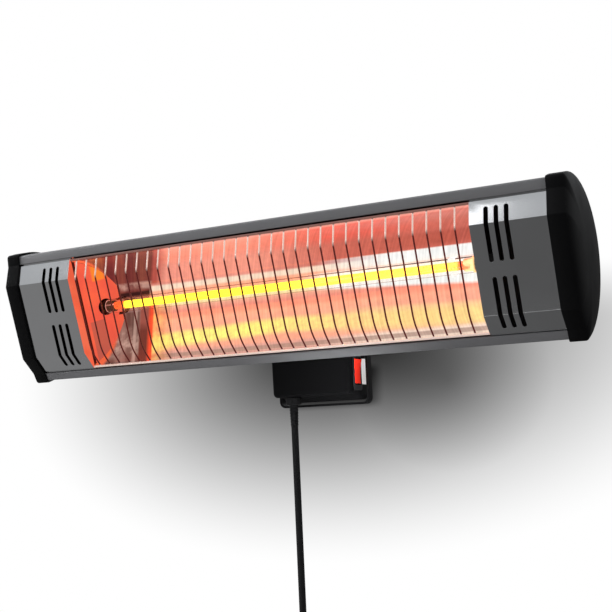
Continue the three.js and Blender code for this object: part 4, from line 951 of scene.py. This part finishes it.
def make_trough_end(name, side, material, inside):
    """Slanted plate that closes the trough, with a round hole for the tube's end."""
    profile = [(a, b) for a, b in trough_profile(-0.3) if a < 61.6]
    face = [Vector((side * (WINDOW_HALF + TROUGH_END - TROUGH_SLOPE * a), a, b)) for a, b in profile]
    plate = in_casing(loft([face, [v + Vector((side * SHEET, 0, 0)) for v in face]]))
    hole = in_casing(lathe((0, TUBE_DEPTH, 0), (side, 0, 0), disc(END_HOLE, 190, 260)))
    node = f"reflector_end_{name}"
    piece = make(f"trough_end_{name}", carve(plate, hole), material, node, smooth=30, bevel=0.15)
    # Faces not turned to the window get the near-black sheet painted as shade.
    paint_faces(piece, inside, lambda centre, normal: normal.x * side >= -0.5)


def make_tube(quartz, coil):
    """Glass tube with a hot wire wound along it."""
    low, high = span("quartz_tube")
    rim = TUBE_RADIUS - 0.2
    wall = [(TUBE_BORE, low.x), (rim, low.x), (TUBE_RADIUS, low.x + 0.4), (TUBE_RADIUS, high.x - 0.4),
            (rim, high.x), (TUBE_BORE, high.x), (TUBE_BORE, low.x)]
    glass = in_casing(lathe((0, TUBE_DEPTH, 0), (1, 0, 0), wall, 64))
    make("quartz_glass", glass, quartz, "quartz_tube", smooth=40)
    start, end = (corner.x for corner in span("filament"))
    steps = 14
    total = int((end - start) / HOT_PITCH) * steps
    points = []
    for i in range(total + 1):
        angle = 2 * math.pi * i / steps
        x = start + (end - start) * i / total
        points.append(Vector((x, TUBE_DEPTH + HOT_TURN * math.cos(angle), HOT_TURN * math.sin(angle))))
    make("hot_wire", in_casing(tube(points, HOT_WIRE, 6)), coil, "filament", smooth=60)


def make_tube_end(name, side, material):
    """Ceramic cap: a neck on the tube, a thicker body with a groove, and a hole for the lead."""
    inner, outer = sorted(abs(corner.x) for corner in span(f"tube_end_{name}"))
    step = inner + 8.8
    profile = [(0, inner), (5.9, inner), (6.2, inner + 0.5), (6.2, step), (7.6, step), (8, step + 0.5),
               (8, step + 12), (7.4, step + 12.6), (7.4, step + 14), (8, step + 14.6), (8, outer - 2)]
    profile += [(8 - 2 * (1 - math.cos(a)), outer - 2 * (1 - math.sin(a))) for a in (0.5, 1, 1.5)]
    profile += [(2.1, outer), (2.1, outer - 3), (0, outer - 3)]
    shape = in_casing(lathe((0, TUBE_DEPTH, 0), (side, 0, 0), profile))
    make(f"ceramic_{name}", shape, material, f"tube_end_{name}")


def make_clip(name, material):
    """Spring clip that holds the tube, its lips turned out, on a foot on the trough's floor."""
    low, high = span(f"tube_clip_{name}")
    angles = [(math.pi - CLIP_MOUTH) * (1 - k / 20) for k in range(41)]
    inside, outside = ([(TUBE_DEPTH + radius * math.cos(a), radius * math.sin(a)) for a in angles]
                       for radius in (CLIP_BORE, CLIP_BORE + 1))
    outlines = [inside + outside[::-1]]
    for up, (a, b) in ((1, inside[0]), (-1, inside[-1])):
        outlines.append([(a, b), (a - 2.2, b + up * 1.6), (a - 2.6, b + up * 2.5), (a + 0.2, b + up)])
    outlines.append(rectangle(TUBE_DEPTH + CLIP_BORE + 0.5, high.y, -3, 3))
    shape = in_casing(merge(*(along_x(outline, low.x, high.x) for outline in outlines)))
    make(f"tube_clip_{name}_sheet", shape, material, f"tube_clip_{name}", smooth=30, bevel=0.2)


# ---- Switch box ----
def box_half(height):
    return BOX_HALF + BOX_DRAFT * (height - BOX_BOTTOM) / (BOX_TOP - BOX_BOTTOM)


def floor_at(y):
    """Height of the box's underside: lower behind a short slope, whose creases are eased."""
    shares = [(y + ease - HEEL_FRONT) / (HEEL_BACK - HEEL_FRONT) for ease in (-HEEL_EASE, HEEL_EASE)]
    share = sum(min(max(part, 0), 1) for part in shares) / 2
    return BOX_BOTTOM - share * (BOX_BOTTOM - BOX_HEEL)


def box_ring(y, inset, radius):
    floor = floor_at(y)
    low, high = box_half(floor) - inset, box_half(BOX_TOP) - inset
    corners = [(-low, floor + inset), (low, floor + inset), (high, BOX_TOP - inset), (-high, BOX_TOP - inset)]
    return [Vector((x, y, z)) for x, z in rounded(corners, radius, 8)]


def heel_rings(inset, radius):
    """Rings at the slope's creases, from the back forward."""
    places = [crease + ease for crease in (HEEL_BACK, HEEL_FRONT) for ease in (HEEL_EASE, -HEEL_EASE)]
    return [box_ring(y, inset, radius) for y in places]


def make_box(material):
    """Moulded box, open at the back, with soft front edges and holes for what passes through."""
    rings = [box_ring(BOX_BACK, BOX_WALL, BOX_WALL), box_ring(BOX_BACK, 0.3, BOX_CORNER),
             box_ring(BOX_BACK - 0.3, 0, BOX_CORNER), *heel_rings(0, BOX_CORNER)]
    rings += [box_ring(BOX_FRONT + BOX_SOFT * b, BOX_SOFT * a, BOX_CORNER) for a, b in quarter(6)]
    inside = [box_ring(BOX_BACK, BOX_WALL, BOX_WALL), *heel_rings(BOX_WALL, BOX_WALL),
              box_ring(BOX_FRONT + BOX_WALL, BOX_WALL, BOX_WALL)]
    ends = [(ring, [tuple(range(len(ring)))]) for ring in (rings[-1], inside[-1])]
    body = merge(loft(rings, capped=False), loft(inside, capped=False), *ends)
    low, high = box_of("switch_body")
    holes = [
        block((BOX_HALF - 6, low.y + 1.1, low.z + 4.4), (BOX_HALF + 9, high.y - 1.1, high.z - 1.1)),
        lathe((CORD_X, CORD_Y, BOX_BOTTOM), (0, 0, 1), disc(5.8, -4, 5), 32),
        lathe((0, BOX_FRONT, LEAD_HOLE.z), (0, 1, 0), disc(6, -4, 5), 32),
        lathe((0, 0, PIVOT_HEIGHT), (1, 0, 0), disc(PIVOT_BORE, -60, 60), 32),
    ]
    make("switch_box", carve(body, *holes), material, "control_box", smooth=32)


def make_cover(material):
    """Lid on the box's back, its edge rounded, with a shallow sunk field inside a border."""
    low, high = BOX_BACK + 0.3, BOX_BACK + 2.8
    rings = [box_ring(low, 0.2, BOX_CORNER), box_ring(low + 0.3, 0, BOX_CORNER)]
    rings += [box_ring(high - 1.2 * b, 1.2 * a, BOX_CORNER) for a, b in quarter(4)]
    rings += [box_ring(high, 11, 3), box_ring(high - 0.6, 11.6, 3)]
    make("box_lid", loft(rings), material, "box_cover", smooth=32)


def make_switch(material):
    """Bezel with a rounded edge round the rocker's well, on the block behind it."""
    low, high = box_of("switch_body")
    outline = rounded(rectangle(low.y, high.y, low.z, high.z), 1.8, 6)
    rings = []
    for inset, x in ((0, SWITCH_FACE), (0, high.x - 0.9), (0.25, high.x - 0.35), (0.7, high.x)):
        rings.append([Vector((x, b + math.copysign(inset, ROCKER_AT.y - b),
                              c + math.copysign(inset, ROCKER_AT.z - c))) for b, c in outline])
    inner = block((low.x, low.y + 1.2, low.z + 4.6), (SWITCH_FACE + 0.5, high.y - 1.2, high.z - 1.2))
    well = block((SWITCH_FACE - WELL.x, ROCKER_AT.y - WELL.y, ROCKER_AT.z - WELL.z),
                 (high.x + 1, ROCKER_AT.y + WELL.y, ROCKER_AT.z + WELL.z))
    make("switch_bezel", merge(carve(loft(rings), well), carve(inner, well)), material, "switch_body")


def make_rocker(material):
    """Rocker key: a shallow dish between two raised ends, pressed in at its bottom."""
    dish = []
    for k in range(21):
        t = k / 10 - 1
        dish.append((ROCKER_CROWN - ROCKER_DISH * (1 - t * t), t * (ROCKER_HALF - 0.7)))
    side, root = ROCKER_CROWN - 2, ROCKER_HALF * 0.8
    outline = [(-ROCKER_ROOT, -root), (side, -ROCKER_HALF), *dish, (side, ROCKER_HALF), (-ROCKER_ROOT, root)]
    rest = Matrix.Translation(ROCKER_AT) @ Matrix.Rotation(ROCKER_REST, 4, "Y")
    edge = [(ROCKER_SIDE, 0.5), (ROCKER_SIDE - 0.2, 0.15), (ROCKER_SIDE - 0.6, 0)]
    rings = []
    for y, shrink in [*((-y, shrink) for y, shrink in edge), *edge[::-1]]:
        rings.append([rest @ Vector((a - shrink if a > 0 else a, y, b)) for a, b in outline])
    make("rocker_cap", loft(rings), material, "switch_rocker", smooth=30)


def make_plate(material):
    """Bare rating plate beside the switch."""
    low, high = box_of("rating_plate")
    shape = prism(rounded(rectangle(low.y, high.y, low.z, high.z), 1, 5), "x", low.x, high.x)
    make("bare_plate", shape, material, "rating_plate", smooth=30, bevel=0.12)


def make_saddle(material):
    """Wedge between the casing's round back and the box's flat front."""
    low, high = box_of("mounting_saddle")
    wedge = prism(rounded(rectangle(low.x, high.x, low.z, high.z), 2.5, 5), "y", low.y, high.y)
    round_back = in_casing(along_x(back_arc(-0.3, 120), -40, 40))
    hole = lathe((0, -60, LEAD_HOLE.z), (0, 1, 0), disc(7.3, 0, 30), 32)
    make("saddle_wedge", carve(wedge, round_back, hole), material, "mounting_saddle", smooth=30)


# ---- Swing bracket and its clamps ----
def u_line(half, floor, radius):
    corners = [(-half, PIVOT_HEIGHT), (-half, floor), (half, floor), (half, PIVOT_HEIGHT)]
    return rounded(corners, [0, radius, radius, 0], 12, closed=False)


def make_bracket(material):
    """Flat steel bent to a U round the box, with an eye at each end of its arms and two holes in its web."""
    half, within = BRACKET_HALF, BRACKET_HALF - BRACKET_WALL
    outline = u_line(half, 0, BRACKET_BEND) + u_line(within, BRACKET_WALL, BRACKET_BEND - BRACKET_WALL)[::-1]
    strap = prism(outline, "y", -BRACKET_SIDE, BRACKET_SIDE)
    holes = [lathe((x, 0, 0), (0, 0, 1), disc(WEB_HOLE, -1, 4), 32) for x in (-WEB_HOLE_X, WEB_HOLE_X)]
    holes += [lathe((x, 0, PIVOT_HEIGHT), (1, 0, 0), disc(6, -4, 4), 32) for x in (-half, half)]
    eye = washer(PIVOT_BORE, BRACKET_EYE, within, half)
    eyes = [lathe((0, 0, PIVOT_HEIGHT), (side, 0, 0), eye, 64) for side in (-1, 1)]
    shape = merge(carve(strap, *holes), *eyes)
    make("bracket_strap", shape, material, "swing_bracket", smooth=30, bevel=0.35)


def ends_of(node):
    """A node's nearest and farthest distance from the middle, sideways."""
    return sorted(abs(corner.x) for corner in box_of(node))


def make_clamp(name, side, metal, plastic):
    """Bush, washer, bolt and lobed knob on the pivot line."""
    centre, out = (0, 0, PIVOT_HEIGHT), (side, 0, 0)
    for piece, node in ((f"bush_{name}", f"pivot_bush_{name}"), (f"washer_{name}", f"clamp_washer_{name}")):
        make(piece, lathe(centre, out, washer(PIVOT_BORE, 8, *ends_of(node), 0.25)), metal, node, smooth=40)
    node = f"clamp_bolt_{name}"
    near, far = ends_of(node)
    thread = [(0, near), (2.4, near), (2.9, near + 0.8)]
    x = near + 0.8
    while x < far - 1.2:
        thread += [(3, x), (2.72, x + 0.35)]
        x += 0.7
    thread += [(2.9, far - 0.4), (0, far)]
    make(f"bolt_{name}", lathe(centre, out, thread, 32), metal, node, smooth=20)
    make_knob(name, side, plastic)


def make_knob(name, side, material):
    """Hand knob with six lobes, a hub towards the bolt and a shallow dish outside."""
    near, far = ends_of(f"clamp_knob_{name}")

    def ring(x, radius, wave=0.08, inset=0.0):
        sizes = [(a, radius * (1 - wave + wave * math.cos(6 * a)) - inset) for a in turns(96)]
        return [Vector((side * x, r * math.cos(a), r * math.sin(a) + PIVOT_HEIGHT)) for a, r in sizes]

    rings = [ring(near + 9, PIVOT_BORE, 0), ring(near, PIVOT_BORE, 0), ring(near, 9, 0.03),
             ring(near + 3.4, 10.5, 0.05), ring(near + 4.6, 12.9), ring(near + 5.4, 14.475),
             ring(near + 6.2, KNOB_RADIUS)]
    rings += [ring(far - 1.8 * b, KNOB_RADIUS, inset=1.8 * a) for a, b in quarter(6)]
    rings += [ring(far, 7, 0), ring(far - 0.8, 6.2, 0)]
    make(f"knob_{name}", loft(rings), material, f"clamp_knob_{name}", smooth=38)


# ---- Mains lead ----
def cord_route():
    """Points of the lead: straight down, round the coil's turns side by side, then down to the plug."""
    top = Vector((CORD_X, CORD_Y, GLAND_TIP_Z))
    points = [top + (Vector((CORD_X, CORD_Y, COIL_Z)) - top) * k / 12 for k in range(12)]
    steps = 24
    for k in range(COIL_TURNS * steps + 1):
        angle = math.pi + 2 * math.pi * k / steps
        across, up = COIL_RADIUS * math.cos(angle), COIL_RADIUS * math.sin(angle)
        points.append(Vector((COIL_X + across, CORD_Y - 2 * CORD_RADIUS * k / steps, COIL_Z + up)))
    last = points[-1]
    drop = last.z - PLUG_TOP
    return points + [last - Vector((0, 0, drop * k / 6)) for k in range(1, 7)]


def make_cord(rubber, tie):
    route = cord_route()
    nodes = ("cord_hanging", "cord_coil", "cord_tail")
    cord = make("mains_lead", tube(route, CORD_RADIUS, 24), rubber, *nodes, smooth=60)
    strap = make_tie(tie)


def make_tie(material):
    """Strap round the turns at the top of the coil, lapped over itself."""
    near = CORD_Y - 0.5 * CORD_RADIUS
    far = near - 2 * COIL_TURNS * CORD_RADIUS
    low, high = COIL_Z + COIL_RADIUS - CORD_RADIUS, COIL_Z + COIL_RADIUS + CORD_RADIUS
    left, right = COIL_X - TIE_HALF, COIL_X + TIE_HALF
    loops = []
    for grow in (0.3, 1.5):
        corners = rectangle(far - grow, near + grow, low - grow, high + grow)
        loops.append(rounded(corners, CORD_RADIUS + grow, 8))
    rings = []
    for inner, outer in zip(*loops):
        corners = ((left, *inner), (right, *inner), (right, *outer), (left, *outer))
        rings.append([Vector(corner) for corner in corners])
    lap = block((left, far + 6, high + 1.3), (right, far + 24, high + 1.9))
    shape = merge(loft(rings, closed=True), lap)
    return make("coil_strap", shape, material, "coil_tie", smooth=30, bevel=0.2)


def make_gland(material):
    """Flanged strain relief with a slim ribbed boot that tapers onto the lead."""
    seat, root = BOX_BOTTOM - 0.3, BOX_BOTTOM + 4.5
    profile = [(0, root), (5.5, root), (5.5, seat), (8.1, seat), (8.5, seat - 0.5), (8.5, seat - 7),
               (8.2, seat - 7.6), (7.4, seat - 8), (5, seat - 8.3)]
    start, end = seat - 9.5, GLAND_TIP_Z
    ribs = 7
    for k in range(ribs):
        for t, inset in ((0.1, 0), (0.5, 0), (0.62, 0.35), (0.95, 0.35)):
            s = (k + t) / ribs
            profile.append((4.9 - 0.7 * s - inset, start + (end - start) * s))
    profile += [(4.2, end + 0.5), (4, end), (0, end)]
    shape = lathe((CORD_X, CORD_Y, 0), (0, 0, 1), profile, 40)
    make("lead_gland", shape, material, "cord_gland", smooth=30)


def make_plug(body, brass):
    """Moulded plug: a ribbed neck, a grip with rounded corners, two flat blades and a round pin."""
    low, high = box_of("plug_body")
    length = high.z - low.z
    wide, deep, neck = 13.5, 12, 5.2

    def ring(z, hx, hy, power=1):
        points = []
        for c, s in ((math.cos(a), math.sin(a)) for a in turns(64)):
            points.append(Vector((CORD_X + hx * math.copysign(abs(c) ** power, c),
                                  TAIL_Y + hy * math.copysign(abs(s) ** power, s), z)))
        return points

    rings = [ring(high.z, neck - 0.8, neck - 0.8)]
    for k in range(5):
        z = high.z - length * (0.03 + 0.07 * k)
        size = neck - 0.4 + 0.12 * k
        for down, inset in ((0, 0), (0.035, 0), (0.042, 0.6), (0.063, 0.6)):
            rings.append(ring(z - length * down, size - inset, size - inset))
    for t in (0.0, 0.2, 0.4, 0.6, 0.8, 1.0):
        s = t * t * (3 - 2 * t)
        z = high.z - length * (0.39 + 0.24 * t)
        rings.append(ring(z, neck + (wide - neck) * s, neck + (deep - neck) * s, 1 - 0.45 * s))
    for up, inset in ((1.4, 0), (0.4, 0.35), (0, 1.2)):
        rings.append(ring(low.z + up, wide - inset, deep - inset, 0.55))
    make("plug_grip", loft(rings), body, "plug_body")
    for name, _ in SIDES:
        low, high = box_of(f"plug_blade_{name}")
        tip = low.z + 1.2
        outline = [(low.y + 1.2, low.z), (high.y - 1.2, low.z), (high.y, tip), (high.y, high.z),
                   (low.y, high.z), (low.y, tip)]
        blade = prism(outline, "x", low.x, high.x)
        make(f"blade_{name}", blade, brass, f"plug_blade_{name}", smooth=30, bevel=0.2)
    low, high = box_of("plug_ground_pin")
    radius = (high.x - low.x) / 2
    profile = [(radius * (1 - b), low.z + radius * a) for a, b in quarter(8)]
    profile += [(radius, high.z), (0, high.z)]
    pin = lathe(((low.x + high.x) / 2, (low.y + high.y) / 2, 0), (0, 0, 1), profile, 32)
    make("ground_pin", pin, brass, "plug_ground_pin", smooth=40)


# ---- Stage, in metres, with the heater's shadow painted on the wall where the camera sees it ----
WALL_Y = 0.25
FLOOR_Z = -1.25
STAGE_HALF = 6
# Where the shadow painted on the wall lies, and how deep it is.
SHADE_X = -0.1
SHADE_Z = 0.09
SHADE_HALF = 0.58
SHADE_DROP = 0.3
SHADE_RISE = 0.1
SHADE_LEAN = -0.19
SHADE_DEPTH = 0.92
SIDE_SHADE = (0.056, 0.03)
SIDE_REACH = (0.138, 0.12)
SIDE_DEPTH = 0.15
FOOT_SHADE = (-0.113, 0.03)
FOOT_DEPTH = 0.2


def plain_stage(name, corners, material):
    mesh = bpy.data.meshes.new(name)
    mesh.from_pydata([Vector(c) for c in corners], [], [tuple(range(len(corners)))])
    mesh.materials.append(material)
    piece = link(name, mesh)
    return piece


def make_wall():
    """White wall with the heater's soft shadow painted on it. Its far side lets light and sight through."""
    nodes = Nodes(bpy.data.materials.new("wall_light_painted_shadow"))
    nodes.tree.nodes.clear()
    output, light = nodes.add("OutputMaterial"), nodes.add("Emission")
    x, _, z = nodes.add("SeparateXYZ", {"Vector": nodes.place()}).outputs

    def scaled(value, offset, factor):
        return nodes.product(nodes.math("SUBTRACT", value, offset), factor)

    def rest_of(value):
        """What is left of 1."""
        return nodes.math("SUBTRACT", 1.0, value, clamp=True)

    # Painted shadow: a wide soft patch round the heater, a darker spot beside the box, and a band behind the
    # gap between the box and the bracket's web.
    across = scaled(nodes.leaned(x, z, SHADE_LEAN), SHADE_X + SHADE_LEAN * SHADE_Z, 1 / SHADE_HALF)
    down = nodes.math("MAXIMUM", scaled(z, SHADE_Z, -1 / SHADE_DROP), scaled(z, SHADE_Z, 1 / SHADE_RISE))
    near = rest_of(nodes.length(across, down))
    wide = nodes.product(nodes.math("POWER", near, 1.5), SHADE_DEPTH)
    aside, below = (scaled(value, SIDE_SHADE[i], 1 / SIDE_REACH[i]) for i, value in ((0, x), (1, z)))
    beside = nodes.length(aside, below)
    side = nodes.product(nodes.reach(beside, 1, 0), SIDE_DEPTH)
    foot = nodes.product(nodes.band(x, FOOT_SHADE[0], 0.05, 0.03),
                         nodes.band(z, FOOT_SHADE[1], 0.018, 0.014), FOOT_DEPTH)
    tone = rest_of(nodes.math("ADD", wide, nodes.math("ADD", side, foot)))
    nodes.feed([(light.inputs["Strength"], nodes.math("POWER", tone, 2.2))])
    back = nodes.add("NewGeometry").outputs["Backfacing"]
    clear = nodes.add("BsdfTransparent").outputs[0]
    both = nodes.add("MixShader", {"Fac": back, 1: light.outputs[0], 2: clear}).outputs[0]
    nodes.feed([(output.inputs["Surface"], both)])
    corners = [(a, WALL_Y, b) for a, b in rectangle(-STAGE_HALF, STAGE_HALF, FLOOR_Z, 4)]
    wall = plain_stage("wall", corners, nodes.owner)
    for sight in ("visible_diffuse", "visible_glossy", "visible_shadow"):
        setattr(wall, sight, False)


def make_floor():
    material = grained("floor_paint", (236, 236, 236), 0.8, 0, 40, 0.02, 0.01)
    corners = [(a, b, FLOOR_Z) for a, b in rectangle(-STAGE_HALF, STAGE_HALF, -0.9, WALL_Y)]
    plain_stage("floor", corners, material).visible_glossy = False


def make_world():
    """Bright above, dim in front and below, with a softer glow from the left."""
    world = bpy.data.worlds.new("studio")
    bpy.context.scene.world = world
    nodes = Nodes(world)
    backdrop = nodes.tree.nodes["Background"]
    x, _, z = nodes.add("SeparateXYZ", {"Vector": nodes.place("Generated")}).outputs
    height = nodes.between(z, 0, 1, 0.08, 0.36, "SMOOTHSTEP")
    side = nodes.between(x, 0, 1, -0.2, -0.7, "SMOOTHSTEP")
    colour = nodes.mix(height, nodes.mix(side, grey(0.085), grey(0.2)), (0.42, 0.43, 0.44, 1))
    nodes.feed([(backdrop.inputs["Color"], colour), (backdrop.inputs["Strength"], 1.0)])


def area_light(name, place, target, size, power, mirrored_only=False):
    """A lamp that the camera doesn't see, lighting surfaces or only showing in shiny ones."""
    data = bpy.data.lights.new(name, "AREA")
    data.shape = "RECTANGLE"
    data.size, data.size_y = size
    data.energy = power
    lamp = link(name, data)
    lamp.location = place
    lamp.rotation_euler = (Vector(target) - Vector(place)).to_track_quat("-Z", "Y").to_euler()
    lamp.visible_camera = False
    lamp.visible_glossy = mirrored_only
    lamp.visible_diffuse = not mirrored_only
    return lamp


def make_lights():
    area_light("key", (-1.2, -1.6, 1.9), (0, -0.1, 0.1), (1.4, 1.0), 7)
    area_light("right", (1.5, -0.5, 0.5), (0, 0, 0.1), (0.5, 0.8), 10)
    area_light("left_strip", (-0.95, -0.35, 0.6), (-0.1, -0.1, 0.1), (0.6, 0.4), 22)
    area_light("low_fill", (-0.9, -1.3, -0.7), (0, -0.1, 0.1), (1.0, 0.8), 13)
    switch = area_light("switch", (0.22, -0.42, -0.28), (0.05, -0.01, 0.035), (0.1, 0.1), 0.17)
    switch.data.spread = math.radians(22)
    area_light("card", (-0.69, -1.4, 0.92), (0.25, -0.15, 0.17), (1.0, 0.4), 1.4, True)
    area_light("low_card", (-0.25, -0.67, -0.63), (0.2, -0.15, 0.1), (1.2, 0.1), 0.35, True)


# ---- Assembly ----
HIDDEN_FINISH = {
    "thermal_cutout": "steel", "lead_grommet": "rubber", "terminal_block": "terminal",
    "reflector_brace_left": "zinc", "reflector_brace_right": "zinc", "tube_lead_left": "sleeve",
    "tube_lead_right": "sleeve", "saddle_screw_1": "zinc", "saddle_screw_2": "zinc",
}


def main():
    make_camera()
    finish = make_materials()
    make_cord(finish["rubber"], finish["tie"])
    make_gland(finish["rubber"])
    make_plug(finish["rubber"], finish["brass"])
    make_shell(finish["shell"])
    make_cap_screws(finish["zinc"])
    make_guard(finish["wire"])
    make_trough(finish["mirror"], finish["inside"])
    make_tube(finish["quartz"], finish["coil"])
    for name, side in SIDES:
        make_cap(name, side, finish["cap"])
        make_panel(name, side, finish["panel"], finish["return"], finish["inside"])
        make_trough_end(name, side, finish["end"], finish["inside"])
        # The left tube cap is painted as shade and the right one as glow, and the right clip carries the
        # trough's painted glow.
        make_tube_end(name, side, finish["ceramic" if side < 0 else "cap_painted_glow"])
        make_clip(name, finish["steel" if side < 0 else "mirror"])
        make_clamp(name, side, finish["zinc"], finish["knob"])
    make_box(finish["box"])
    make_cover(finish["box"])
    for i in (1, 2, 3, 4):
        place_screw(f"lid_screw_{i}", f"cover_screw_{i}", finish["zinc"], LEVEL, Vector((0, 1, 0)), 3)
    make_switch(finish["bezel"])
    make_rocker(finish["rocker"])
    make_plate(finish["plate"])
    make_saddle(finish["box"])
    make_bracket(finish["bracket"])
    for node, key in HIDDEN_FINISH.items():
        NODES[node].data.materials.clear()
        NODES[node].data.materials.append(finish[key])
    make_wall()
    make_floor()
    make_world()
    make_lights()
    bpy.context.scene.view_settings.view_transform = "Standard"
    bpy.context.view_layer.update()


main()
